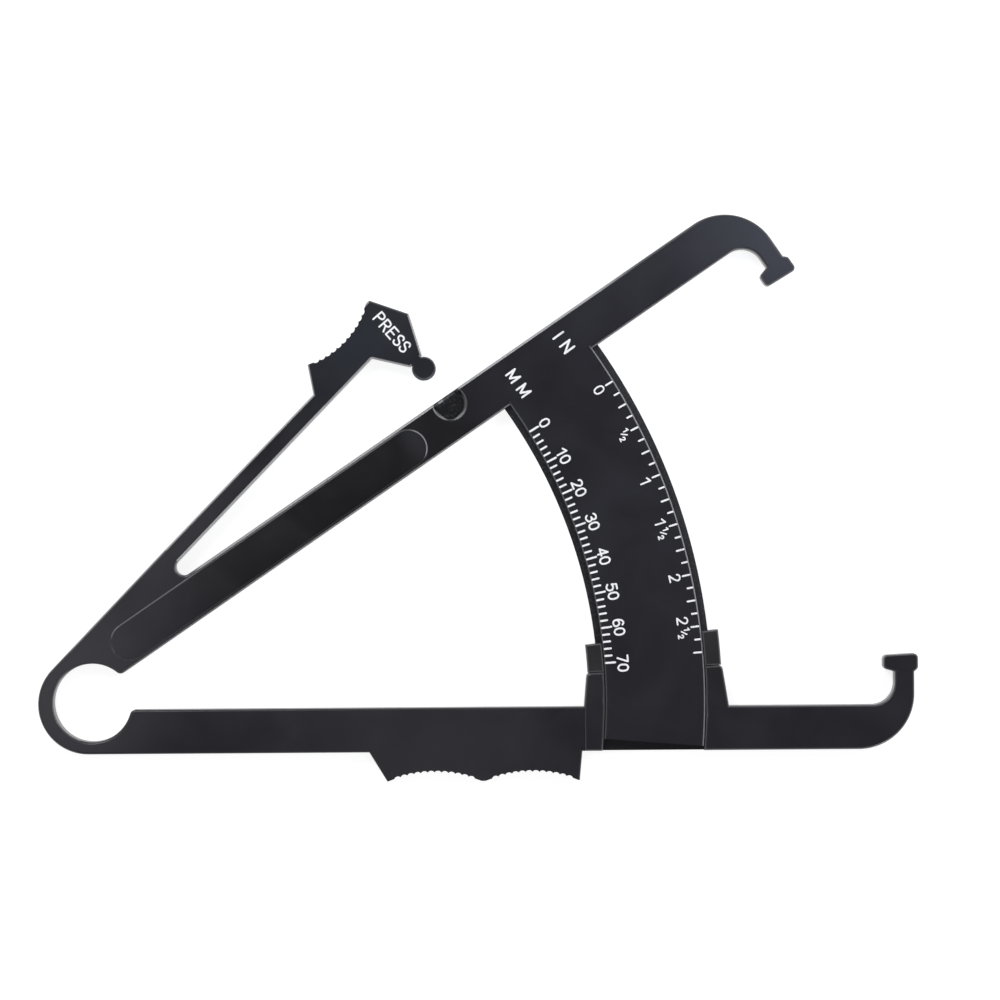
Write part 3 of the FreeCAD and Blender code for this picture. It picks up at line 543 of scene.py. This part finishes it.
plate_plastic = moulded_plastic("scale plate plastic")
tree = plate_plastic.node_tree
marks = node(tree, "ShaderNodeGroup", node_tree=skin)
height = height_above(tree)
radius = distance_round(tree, HINGE)
rail_height = ramped(tree, height, RAIL_TOP + 3 * SLACK, RAIL_TOP + SLACK)
rail = product(tree, facing_up(tree), rail_height)
# Painted light: the outer rail is painted paler than the inner one.
outer = ramped(tree, radius, FACE_EDGE - 1 * MM, FACE_EDGE)
overlaid(plate_plastic, product(tree, rail, outer), 0.8, OUTER_RAIL_LIGHT_GREY)
overlaid(plate_plastic, product(tree, rail, marks.outputs["Speckle"]), 0.5, RAIL_SPECKLE)
# Painted highlight: a pale line just inside the printed face's outer edge.
front = ramped(tree, height, THICK - 5 * SLACK, THICK - 4 * SLACK)
crisp = ramped(tree, radius, FACE_EDGE - 0.26 * MM, FACE_EDGE - 0.20 * MM)
overlaid(plate_plastic, product(tree, front, crisp), 0.9, FACE_EDGE_HIGHLIGHT_PALE)
coat(plate_plastic, "scale_plate")

# ---------------------------------------------------------------------------------------------
# The graduations: white ink, stamped on the raised face of the scale plate. Millimetres run
# round its inner edge and eighths of an inch round its outer edge, from one zero line.
# ---------------------------------------------------------------------------------------------
INK_WHITE = (0.90, 0.90, 0.91, 1)
INK_THIN = (0.55, 0.55, 0.57, 1)
INK_ROUGH = 0.6
INK_HEIGHT = 0.025 * MM
INK_SINK = 0.01 * MM
MM_ZERO = math.radians(31.415)
MM_TURN = math.radians(0.39074)
INCH_ZERO = math.radians(31.338)
EIGHTH_TURN = math.radians(1.2254)


def stamped_ink():
    """Opaque white ink, a little thin and grey where the stamp touched lightly."""
    material = bpy.data.materials.new("stamped white ink")
    material.use_nodes = True
    tree = material.node_tree
    shader = tree.nodes["Principled BSDF"]
    shader.inputs["Roughness"].default_value = INK_ROUGH
    marks = node(tree, "ShaderNodeGroup", {
        "Cloud Size": 1.1 * MM,
        "Grain Size": 0.16 * MM,
    }, node_tree=skin)
    thin = node(tree, "ShaderNodeMapRange", {
        "Value": marks.outputs["Cloud"],
        "From Min": 0.62,
        "From Max": 1.0,
        "To Max": 0.55,
    })
    colour = node(tree, "ShaderNodeMix", {
        "Factor": thin.outputs["Result"],
        6: INK_WHITE,
        7: INK_THIN,
    }, data_type="RGBA")
    relief = node(tree, "ShaderNodeBump", {
        "Strength": 0.3,
        "Distance": 0.01 * MM,
        "Height": marks.outputs["Grain"],
    })
    tree.links.new(colour.outputs[2], shader.inputs["Base Color"])
    tree.links.new(relief.outputs["Normal"], shader.inputs["Normal"])
    return material


ink = stamped_ink()


def graduation_tree():
    """Rounded ink bars round a centre, with a longer one at every so many."""
    inputs = {
        "Centre": ("NodeSocketVector", (0, 0, 0)),
        "Marks": ("NodeSocketInt", 10),
        "First Angle": ("NodeSocketFloat", 0.0),
        "Turn": ("NodeSocketFloat", 0.01),
        "Edge Radius": ("NodeSocketFloat", 0.1),
        "Outward": ("NodeSocketFloat", 1.0),
        "Short": ("NodeSocketFloat", 0.001),
        "Long": ("NodeSocketFloat", 0.002),
        "Long Every": ("NodeSocketInt", 2),
        "Width": ("NodeSocketFloat", 0.0004),
        "Height": ("NodeSocketFloat", 0.00003),
        "Ink": ("NodeSocketMaterial", None),
    }
    outputs = {"Geometry": "NodeSocketGeometry"}
    group, given, result = node_group("graduations", "GeometryNodeTree", inputs, outputs)
    want = given.outputs
    index = node(group, "GeometryNodeInputIndex").outputs[0]
    left_over = maths(group, "MODULO", index, want["Long Every"])
    is_long = maths(group, "LESS_THAN", left_over, 0.5)
    more = maths(group, "SUBTRACT", want["Long"], want["Short"])
    length = maths(group, "ADD", want["Short"], maths(group, "MULTIPLY", is_long, more))
    turned = maths(group, "MULTIPLY", index, want["Turn"])
    angle = maths(group, "SUBTRACT", want["First Angle"], turned)
    half = maths(group, "MULTIPLY", length, 0.5)
    radius = maths(group, "ADD", want["Edge Radius"], maths(group, "MULTIPLY", want["Outward"], half))
    ray = node(group, "ShaderNodeCombineXYZ", {
        "X": maths(group, "MULTIPLY", radius, maths(group, "COSINE", angle)),
        "Y": maths(group, "MULTIPLY", radius, maths(group, "SINE", angle)),
    })
    place = node(group, "ShaderNodeVectorMath", {
        0: want["Centre"],
        1: ray.outputs[0],
    }, operation="ADD")
    points = node(group, "GeometryNodePoints", {
        "Count": want["Marks"],
        "Position": place.outputs[0],
    })
    outline = node(group, "GeometryNodeCurvePrimitiveQuadrilateral", {
        "Width": want["Short"],
        "Height": want["Width"],
    })
    rounded = node(group, "GeometryNodeFilletCurve", {
        "Curve": outline.outputs[0],
        "Count": 4,
        "Radius": maths(group, "MULTIPLY", want["Width"], 0.46),
    }, mode="POLY")
    filled = node(group, "GeometryNodeFillCurve", {"Curve": rounded.outputs[0]}, mode="NGONS")
    raised = node(group, "GeometryNodeExtrudeMesh", {
        "Mesh": filled.outputs[0],
        "Offset Scale": want["Height"],
        "Individual": False,
    }, mode="FACES")
    under = node(group, "GeometryNodeFlipFaces", {"Mesh": filled.outputs[0]})
    both = node(group, "GeometryNodeJoinGeometry")
    group.links.new(raised.outputs[0], both.inputs[0])
    group.links.new(under.outputs[0], both.inputs[0])
    bar = node(group, "GeometryNodeMergeByDistance", {
        "Geometry": both.outputs[0],
        "Distance": 0.001 * MM,
    })
    turn = node(group, "ShaderNodeCombineXYZ", {"Z": angle})
    size = node(group, "ShaderNodeCombineXYZ", {
        "X": maths(group, "DIVIDE", length, want["Short"]),
        "Y": 1.0,
        "Z": 1.0,
    })
    bars = node(group, "GeometryNodeInstanceOnPoints", {
        "Points": points.outputs[0],
        "Instance": bar.outputs[0],
        "Rotation": turn.outputs[0],
        "Scale": size.outputs[0],
    })
    real = node(group, "GeometryNodeRealizeInstances", {"Geometry": bars.outputs[0]})
    inked = node(group, "GeometryNodeSetMaterial", {
        "Geometry": real.outputs[0],
        "Material": want["Ink"],
    })
    group.links.new(inked.outputs[0], result.inputs[0])
    return group


graduations = graduation_tree()


def plain_mesh(name, grown):
    """The mesh that an object with modifiers comes to, as a finished object without them."""
    bpy.context.view_layer.update()
    seen = grown.evaluated_get(bpy.context.evaluated_depsgraph_get())
    mesh = bpy.data.meshes.new_from_object(seen)
    bpy.data.objects.remove(grown)
    mesh.name = name
    return in_scene(name, mesh)


def stamped_marks(name, sizes):
    """One row of graduations round the hinge, riding with the scale plate."""
    seed = in_scene(name + "_seed", bpy.data.meshes.new(name + "_seed"))
    maker = seed.modifiers.new("marks", "NODES")
    maker.node_group = graduations
    given = {
        **sizes,
        "Centre": (HINGE.x, HINGE.y, THICK - INK_SINK),
        "Height": INK_HEIGHT + INK_SINK,
        "Ink": ink,
    }
    for item in graduations.interface.items_tree:
        if item.in_out == "INPUT":
            maker[item.identifier] = given[item.name]
    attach(plain_mesh(name, seed), "upper_arm")


stamped_marks("millimetre_marks", {
    "Marks": 36,
    "First Angle": MM_ZERO,
    "Turn": 2 * MM_TURN,
    "Edge Radius": 93.5 * MM,
    "Outward": 1.0,
    "Short": 1.48 * MM,
    "Long": 2.05 * MM,
    "Long Every": 5,
    "Width": 0.36 * MM,
})
stamped_marks("inch_marks", {
    "Marks": 23,
    "First Angle": INCH_ZERO,
    "Turn": EIGHTH_TURN,
    "Edge Radius": 111.25 * MM,
    "Outward": -1.0,
    "Short": 1.2 * MM,
    "Long": 1.62 * MM,
    "Long Every": 2,
    "Width": 0.33 * MM,
})

# ---------------------------------------------------------------------------------------------
# The numbers and unit letters of the scale: the same white ink, in plain strokes of one width
# with round ends. Numbers stand outward from the hinge, each on its own mark.
# ---------------------------------------------------------------------------------------------
NIB = 0.33 * MM
INCH_NIB = 0.30 * MM
SMOOTH = 5
CAP_STEPS = 7
STRAIGHT, CURVED = 0, 1
# The strokes of each figure or letter, across and up, where its height is 1.
STROKES = {
    "0": [
        (CURVED, [(0.31, 1), (0.08, 0.86), (0, 0.5), (0.08, 0.14), (0.31, 0)]),
        (CURVED, [(0.31, 1), (0.54, 0.86), (0.62, 0.5), (0.54, 0.14), (0.31, 0)]),
    ],
    "1": [(STRAIGHT, [(0, 0.76), (0.36, 1), (0.36, 0)])],
    "2": [
        (CURVED, [(0.02, 0.76), (0.1, 0.94), (0.32, 1), (0.54, 0.9), (0.58, 0.68), (0.4, 0.4),
                  (0, 0)]),
        (STRAIGHT, [(0, 0), (0.62, 0)]),
    ],
    "3": [
        (CURVED, [(0.02, 0.84), (0.14, 0.96), (0.32, 1), (0.54, 0.9), (0.54, 0.64), (0.28, 0.54)]),
        (CURVED, [(0.28, 0.54), (0.56, 0.46), (0.6, 0.16), (0.34, 0), (0.12, 0.04), (0, 0.18)]),
    ],
    "4": [(STRAIGHT, [(0.48, 0), (0.48, 1), (0, 0.3), (0.66, 0.3)])],
    "5": [
        (STRAIGHT, [(0.56, 1), (0.1, 1), (0.04, 0.56)]),
        (CURVED, [(0.04, 0.56), (0.3, 0.64), (0.56, 0.52), (0.6, 0.26), (0.46, 0.05), (0.24, 0),
                  (0, 0.14)]),
    ],
    "6": [
        (CURVED, [(0.54, 0.88), (0.34, 1), (0.1, 0.84), (0, 0.42), (0.1, 0.08), (0.32, 0)]),
        (CURVED, [(0.32, 0), (0.56, 0.1), (0.6, 0.36), (0.42, 0.58), (0.16, 0.54), (0.02, 0.36)]),
    ],
    "7": [(STRAIGHT, [(0, 1), (0.6, 1), (0.2, 0)])],
    "M": [(STRAIGHT, [(0, 0), (0, 1), (0.43, 0.12), (0.86, 1), (0.86, 0)])],
    "I": [(STRAIGHT, [(0, 0), (0, 1)])],
    "N": [(STRAIGHT, [(0, 0), (0, 1), (0.68, 0), (0.68, 1)])],
}


def curved_through(points):
    """A smooth line through the points."""
    line = []
    padded = [points[0], *points, points[-1]]
    for before, start, end, after in zip(padded, padded[1:], padded[2:], padded[3:]):
        for step in range(SMOOTH):
            t = step / SMOOTH
            weights = (
                (-t + 2 * t * t - t ** 3) / 2,
                (2 - 5 * t * t + 3 * t ** 3) / 2,
                (t + 4 * t * t - 3 * t ** 3) / 2,
                (t ** 3 - t * t) / 2,
            )
            mixed = zip(weights, (before, start, end, after))
            line.append(sum((point * weight for weight, point in mixed), Vector((0, 0))))
    return line + [points[-1]]


def nib_outline(line, nib):
    """The outline that a round nib leaves along a line."""
    left, right = [], []
    for index, point in enumerate(line):
        run = (line[min(index + 1, len(line) - 1)] - line[max(index - 1, 0)]).normalized()
        side = Vector((-run.y, run.x)) * nib / 2
        left.append(point + side)
        right.append(point - side)
    outline = list(left)
    for end, run in ((line[-1], line[-1] - line[-2]), (line[0], line[0] - line[1])):
        heading = math.atan2(run.y, run.x)
        for step in range(1, CAP_STEPS):
            turn = math.pi / 2 - math.pi * step / CAP_STEPS
            outline.append(end + direction(heading + turn) * nib / 2)
        if end is line[-1]:
            outline += reversed(right)
    return outline[::-1]


def glyph_outlines(letter, size, nib):
    """Outlines of a letter's strokes, with its middle at the origin."""
    strokes = STROKES[letter]
    width = max(x for _, points in strokes for x, _ in points)
    outlines = []
    for form, points in strokes:
        places = [Vector((x - width / 2, y - 0.5)) * size for x, y in points]
        if form == CURVED:
            outlines.append(nib_outline(curved_through(places), nib))
        else:
            outlines += [nib_outline([start, end], nib) for start, end in zip(places, places[1:])]
    return outlines


HALF_SIZE = 0.9 * MM
HALF_NIB = 0.25 * MM
HALF_DIGITS = (("1", Vector((-0.64, 0.6)) * MM), ("2", Vector((0.62, -0.6)) * MM))
HALF_BAR = [Vector((-0.3, -0.42)) * MM, Vector((0.3, 0.5)) * MM]


def half_outlines():
    """A small 1 over a small 2 with a slanted bar between them."""
    outlines = []
    for letter, middle in HALF_DIGITS:
        for line in glyph_outlines(letter, HALF_SIZE, HALF_NIB):
            outlines.append([p + middle for p in line])
    return outlines + [nib_outline(HALF_BAR, HALF_NIB)]


def word_outlines(word, size, advance, nib):
    """Outlines of a short word, centred at the origin."""
    outlines = []
    for index, letter in enumerate(word):
        shift = Vector(((index - (len(word) - 1) / 2) * advance, 0))
        for line in glyph_outlines(letter, size, nib):
            outlines.append([p + shift for p in line])
    return outlines


def laid(outlines, middle, up):
    """Outlines turned so that their top points along an angle, and moved to a middle point."""
    right = direction(up - math.pi / 2)
    top = direction(up)
    return [[middle + right * p.x + top * p.y for p in line] for line in outlines]


def stamped_outlines(name, body, groups):
    """Thin raised ink that covers the outlines, joined where strokes of one group overlap."""
    mesh = bpy.data.meshes.new(name)
    shape = bmesh.new()
    for outlines in groups:
        points, loops = [], []
        for line in outlines:
            loops.append(list(range(len(points), len(points) + len(line))))
            points += [p / MM for p in line]
        places, _, areas, _, _, sources = delaunay_2d_cdt(points, [], loops, 1, 1e-4)
        corners = [shape.verts.new((p.x * MM, p.y * MM, THICK - INK_SINK)) for p in places]
        inked = [area for area, source in zip(areas, sources) if source]
        flat = [shape.faces.new([corners[index] for index in area]) for area in inked]
        grown = bmesh.ops.extrude_face_region(shape, geom=flat, use_keep_orig=True)
        for item in grown["geom"]:
            if isinstance(item, bmesh.types.BMVert):
                item.co.z = THICK + INK_HEIGHT
    loose = [vert for vert in shape.verts if not vert.link_faces]
    bmesh.ops.delete(shape, geom=loose, context="VERTS")
    bmesh.ops.recalc_face_normals(shape, faces=shape.faces)
    shape.to_mesh(mesh)
    shape.free()
    mesh.materials.append(ink)
    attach(in_scene(name, mesh), body)


NUMBER_SIZE = 1.86 * MM
NUMBER_ADVANCE = 1.62 * MM
NUMBER_RADIUS = 96.74 * MM
INCH_RADIUS = 108.3 * MM
ZERO_SHIFT = 0.05 * MM
NUMBER_SHIFT = 0.27 * MM
WHOLE_SHIFT = -1.3 * MM
HALF_SHIFT = 0.9 * MM

numbers = []
for tens in range(8):
    up = MM_ZERO - 10 * tens * MM_TURN
    outlines = word_outlines(str(10 * tens), NUMBER_SIZE, NUMBER_ADVANCE, NIB)
    shift = direction(up - math.pi / 2) * (NUMBER_SHIFT if tens else ZERO_SHIFT)
    numbers.append(laid(outlines, HINGE + direction(up) * NUMBER_RADIUS + shift, up))
stamped_outlines("millimetre_numbers", "upper_arm", numbers)

inch_numbers = []
for halves in range(6):
    up = INCH_ZERO - halves * 4 * EIGHTH_TURN
    middle = HINGE + direction(up) * INCH_RADIUS
    right = direction(up - math.pi / 2)
    whole = "" if halves == 1 else str(halves // 2)
    half = halves % 2 == 1
    if whole:
        shift = WHOLE_SHIFT if half else ZERO_SHIFT
        outlines = word_outlines(whole, NUMBER_SIZE, NUMBER_ADVANCE, INCH_NIB)
        inch_numbers.append(laid(outlines, middle + right * shift, up))
    if half:
        shift = HALF_SHIFT if whole else 2 * ZERO_SHIFT
        inch_numbers.append(laid(half_outlines(), middle + right * shift, up))
stamped_outlines("inch_numbers", "upper_arm", inch_numbers)

UNIT_UP = math.radians(35.6)
UNIT_NIB = 0.37 * MM
# Letter, height and place from the hinge, in millimetres.
UNIT_PLACES = (
    ("M", 1.95, 76.94, 58.92), ("M", 1.95, 78.84, 56.28),
    ("I", 2.18, 85.18, 66.25), ("N", 2.15, 86.79, 64.20),
)
units = []
for letter, size, x, y in UNIT_PLACES:
    outlines = glyph_outlines(letter, size * MM, UNIT_NIB)
    units.append(laid(outlines, HINGE + Vector((x, y)) * MM, UNIT_UP))
stamped_outlines("unit_letters", "upper_arm", units)

# ---------------------------------------------------------------------------------------------
# The control word on the thumb head: PRESS, in the same plain strokes and white ink. It tells
# where to push until the disc clicks.
# ---------------------------------------------------------------------------------------------
WORD_SIZE = 2.06 * MM
WORD_NIB = 0.33 * MM
WORD_UP = math.radians(40.4)
# Letter and place from the hinge, in millimetres.
WORD_PLACES = (
    ("P", 52.70, 69.66), ("R", 53.80, 68.27), ("E", 55.01, 66.91),
    ("S", 56.15, 65.58), ("S", 57.26, 64.38),
)
STROKES.update({
    "P": [
        (STRAIGHT, [(0, 0), (0, 1), (0.3, 1)]),
        (CURVED, [(0.3, 1), (0.53, 0.9), (0.55, 0.62), (0.3, 0.5)]),
        (STRAIGHT, [(0.3, 0.5), (0, 0.5)]),
    ],
    "R": [
        (STRAIGHT, [(0, 0), (0, 1), (0.3, 1)]),
        (CURVED, [(0.3, 1), (0.53, 0.9), (0.55, 0.62), (0.3, 0.5)]),
        (STRAIGHT, [(0, 0.5), (0.3, 0.5), (0.56, 0)]),
    ],
    "E": [
        (STRAIGHT, [(0.58, 1), (0, 1), (0, 0), (0.58, 0)]),
        (STRAIGHT, [(0, 0.52), (0.5, 0.52)]),
    ],
    "S": [
        (CURVED, [(0.54, 0.8), (0.46, 0.96), (0.26, 1), (0.05, 0.86), (0.08, 0.63), (0.28, 0.52),
                  (0.5, 0.4), (0.54, 0.15), (0.32, 0), (0.09, 0.04), (0, 0.2)]),
    ],
})

control_word = []
for letter, x, y in WORD_PLACES:
    outlines = glyph_outlines(letter, WORD_SIZE, WORD_NIB)
    control_word.append(laid(outlines, HINGE + Vector((x, y)) * MM, WORD_UP))
stamped_outlines("press_word", "press_lever", control_word)

# ---------------------------------------------------------------------------------------------
# The thumb head: the same plastic, with the beam's painted edge highlight carried on along its
# front and round its heel.
# ---------------------------------------------------------------------------------------------
HEEL_FACING = math.radians(190)
HEAD_EDGE_HIGHLIGHT_PALE = (0.32, 0.32, 0.33, 1)

head_plastic = moulded_plastic("thumb head plastic")
tree = head_plastic.node_tree
marks = node(tree, "ShaderNodeGroup", node_tree=skin)
# Painted highlight on the rounded edges along the head's front and round its heel.
for angle in (LEVER_ANGLE - math.pi / 2, HEEL_FACING):
    overlaid(head_plastic, edge_facing(tree, marks, angle), 0.8, HEAD_EDGE_HIGHLIGHT_PALE)
coat(head_plastic, "thumb_head")

# ---------------------------------------------------------------------------------------------
# The click disc: half as thick as the head and of the same plastic. A paler ring just inside
# its rim, on the side that meets the pocket first, is a painted highlight.
# ---------------------------------------------------------------------------------------------
DISC_RADIUS = 2.17 * MM
DISC_PLACE = Vector((85.6, -1.629)) * MM
DISC_HIGHLIGHT_SIDE = math.radians(275)
DISC_RING = (-0.50, -0.38, -0.22, -0.10)
DISC_RING_HIGHLIGHT_GREY = (0.085, 0.083, 0.095, 1)

disc_plastic = moulded_plastic("click disc plastic")
tree = disc_plastic.node_tree
disc_middle = HINGE + along_beam * DISC_PLACE.x + across_beam * DISC_PLACE.y
from_disc = distance_round(tree, disc_middle)
# Painted highlight: a pale ring just inside the disc's rim, on one side.
ring = product(
    tree,
    facing_up(tree),
    faded(tree, from_disc, DISC_RADIUS, DISC_RING),
    ramped(tree, along_line(tree, disc_middle, DISC_HIGHLIGHT_SIDE), 0.2 * MM, 1.3 * MM),
)
overlaid(disc_plastic, ring, 0.8, DISC_RING_HIGHLIGHT_GREY)
coat(disc_plastic, "click_disc")

# ---------------------------------------------------------------------------------------------
# The neck: the head runs into the click disc without a step, so a small flush web of the same
# plastic fills the rounding between their faces. Its top stands a hair proud of both.
# ---------------------------------------------------------------------------------------------
NECK_PLACE = 85.6 * MM
NECK_WIDE = 2.0 * MM
NECK_NEAR = 0.05 * MM
NECK_FAR = 0.8 * MM
NECK_DEEP = 0.7 * MM
NECK_PROUD = 0.012 * MM

neck_mesh = bpy.data.meshes.new("neck_web")
neck_corners = []
for height in (THICK - NECK_DEEP, THICK + NECK_PROUD):
    for side, rise in ((-1, NECK_NEAR), (1, NECK_NEAR), (1, NECK_FAR), (-1, NECK_FAR)):
        place = HINGE + along_beam * (NECK_PLACE + side * NECK_WIDE / 2) + across_beam * rise
        neck_corners.append((place.x, place.y, height))
neck_sides = [(a, (a + 1) % 4, (a + 1) % 4 + 4, a + 4) for a in range(4)]
neck_mesh.from_pydata(neck_corners, [], [(3, 2, 1, 0), (4, 5, 6, 7), *neck_sides])
neck_mesh.materials.append(plastic)
neck_web = in_scene("neck_web", neck_mesh)
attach(neck_web, "press_lever")

# ---------------------------------------------------------------------------------------------
# The lower arm and its finger grip: the same plastic. Fingers rest in the grip. The rounded
# edges get no painted highlight here and stay as dark as the faces.
# ---------------------------------------------------------------------------------------------
lower_plastic = moulded_plastic("lower arm plastic", edge=PLASTIC_BLACK)
coat(lower_plastic, "lower_bar", "finger_grip")

# ---------------------------------------------------------------------------------------------
# The reading slide: a small clip of the same plastic family, moulded on its own and a touch
# glossier, that the guide posts push along the scale.
# ---------------------------------------------------------------------------------------------
SLIDE_BLACK = (0.013, 0.013, 0.015, 1)
SLIDE_CLOUD = (0.019, 0.019, 0.022, 1)
SLIDE_ROUGH = (0.34, 0.44)

slide_plastic = moulded_plastic(
    "slide plastic", dark=SLIDE_BLACK, cloudy=SLIDE_CLOUD, rough=SLIDE_ROUGH
)
coat(slide_plastic, "reading_slide")

# ---------------------------------------------------------------------------------------------
# The studio: a white table seen from straight above, a dim ceiling and soft lamps low at the
# sides, which leave the flat faces dark and draw the rounded edges light.
# ---------------------------------------------------------------------------------------------
FLOOR_DROP = 0.05 * MM
FLOOR_REACH = 4.0
FLOOR_GREY = (0.42, 0.42, 0.42, 1)
FLOOR_GLOW = 0.82
SKY_EDGE = (0.75, 0.75, 0.76, 1)
SKY_TOP = (0.07, 0.07, 0.078, 1)
SKY_STOPS = ((0.25, 0.75), (0.55, 0.5), (0.8, 0.22), (0.92, 0.1))
WHITE = (1, 1, 1, 1)
PICTURE_TILT = math.radians(-0.4)
LENS = 160
VIEW_DEPTH = 20
SENSOR = 36
FIELD = 181.8 * MM
PICTURE_MIDDLE = Vector((74.127, 36.92)) * MM
STRIP_REACH = 0.6
STRIP_WIDE = 0.15
# Lamps in a ring: name, bearing, rise, length and power.
STRIPS = (
    ("strip_upper_left", 124, 48, 0.28, 1.5),
    ("strip_right", 26, 31, 0.5, 1.15),
    ("strip_lower_right", -57, 24, 0.36, 1.1),
)
# Small lamps that look straight down: name, place, height, width, power and tint.
SHEENS = (
    ("sheen_ring", -0.084, -0.036, 0.06, 0.032, 0.0030, (0.95, 0.93, 1.0)),
    ("sheen_lever", -0.062, -0.001, 0.06, 0.022, 0.0014, (0.93, 0.95, 1.0)),
    ("sheen_head", -0.023, 0.030, 0.06, 0.014, 0.0004, (0.35, 0.75, 1.0)),
    ("sheen_grip", -0.012, -0.052, 0.06, 0.040, 0.0013, (1.0, 0.98, 1.0)),
    ("sheen_hook", 0.074, 0.064, 0.11, 0.05, 0.0185, (0.68, 0.76, 1.0)),
)

turned = direction(PICTURE_TILT)
picture_middle = HINGE + turned * PICTURE_MIDDLE.x
picture_middle += Vector((-turned.y, turned.x)) * PICTURE_MIDDLE.y

floor_mesh = bpy.data.meshes.new("floor")
floor_corners = [(-1, -1), (1, -1), (1, 1), (-1, 1)]
floor_mesh.from_pydata(
    [(x * FLOOR_REACH, y * FLOOR_REACH, -FLOOR_DROP) for x, y in floor_corners], [], [(0, 1, 2, 3)]
)
floor_material = bpy.data.materials.new("white table")
floor_material.use_nodes = True
tree = floor_material.node_tree
tree.nodes.clear()
path = node(tree, "ShaderNodeLightPath")
facing = node(tree, "ShaderNodeNewGeometry")
mirrored = maths(tree, "MAXIMUM", path.outputs["Is Glossy Ray"], path.outputs["Is Transmission Ray"])
looked_at = maths(tree, "MAXIMUM", path.outputs["Is Camera Ray"], mirrored)
from_above = maths(tree, "SUBTRACT", looked_at, facing.outputs["Backfacing"], use_clamp=True)
matt = node(tree, "ShaderNodeBsdfDiffuse", {"Color": FLOOR_GREY})
glow = node(tree, "ShaderNodeEmission", {"Color": WHITE, "Strength": FLOOR_GLOW})
lit = node(tree, "ShaderNodeAddShader", {0: matt.outputs[0], 1: glow.outputs[0]})
clear = node(tree, "ShaderNodeBsdfTransparent")
table = node(tree, "ShaderNodeMixShader", {
    0: from_above,
    1: clear.outputs[0],
    2: lit.outputs[0],
})
node(tree, "ShaderNodeOutputMaterial", {"Surface": table.outputs[0]})
floor_mesh.materials.append(floor_material)
in_scene("floor", floor_mesh)

world = bpy.data.worlds.new("studio")
world.use_nodes = True
tree = world.node_tree
tree.nodes.clear()
place = node(tree, "ShaderNodeTexCoord")
height = node(tree, "ShaderNodeSeparateXYZ", {"Vector": place.outputs["Generated"]})
ramp = node(tree, "ShaderNodeValToRGB", {"Fac": height.outputs["Z"]})
ramp.color_ramp.elements[0].position = 0.0
ramp.color_ramp.elements[0].color = SKY_EDGE
ramp.color_ramp.elements[1].position = 1.0
ramp.color_ramp.elements[1].color = SKY_TOP
for position, grey in SKY_STOPS:
    stop = ramp.color_ramp.elements.new(position)
    stop.color = (grey, grey, grey * 1.02, 1)
path = node(tree, "ShaderNodeLightPath")
sky = node(tree, "ShaderNodeMix", {
    "Factor": path.outputs["Is Camera Ray"],
    6: ramp.outputs["Color"],
    7: WHITE,
}, data_type="RGBA")
dome = node(tree, "ShaderNodeBackground", {"Color": sky.outputs[2], "Strength": 1.0})
node(tree, "ShaderNodeOutputWorld", {"Surface": dome.outputs[0]})
bpy.context.scene.world = world


def soft_lamp(name, place, aim, wide, tall, watts, tint):
    """A rectangular soft lamp that points at a place on the table."""
    data = bpy.data.lights.new(name, "AREA")
    data.shape = "RECTANGLE"
    data.size = wide
    data.size_y = tall
    data.energy = watts
    data.color = tint
    lamp = in_scene(name, data)
    lamp.location = place
    lamp.rotation_euler = (Vector(aim) - Vector(place)).to_track_quat("-Z", "Y").to_euler()


for name, x, y, high, wide, watts, tint in SHEENS:
    soft_lamp(name, (x, y, high), (x, y, 0), wide, wide, watts, tint)
for name, bearing, rise, tall, watts in STRIPS:
    flat = direction(math.radians(bearing)) * math.cos(math.radians(rise))
    place = Vector((flat.x, flat.y, math.sin(math.radians(rise)))) * STRIP_REACH
    soft_lamp(name, place, (0, 0, 0), STRIP_WIDE, tall, watts, (1, 1, 1))

camera_data = bpy.data.cameras.new("camera")
camera_data.lens = LENS
camera_data.sensor_width = SENSOR
camera_data.clip_end = VIEW_DEPTH
camera = in_scene("camera", camera_data)
camera.location = (picture_middle.x, picture_middle.y, THICK + FIELD * LENS / SENSOR)
camera.rotation_euler = (0, 0, PICTURE_TILT)
bpy.context.scene.camera = camera
bpy.context.scene.view_settings.view_transform = "Standard"
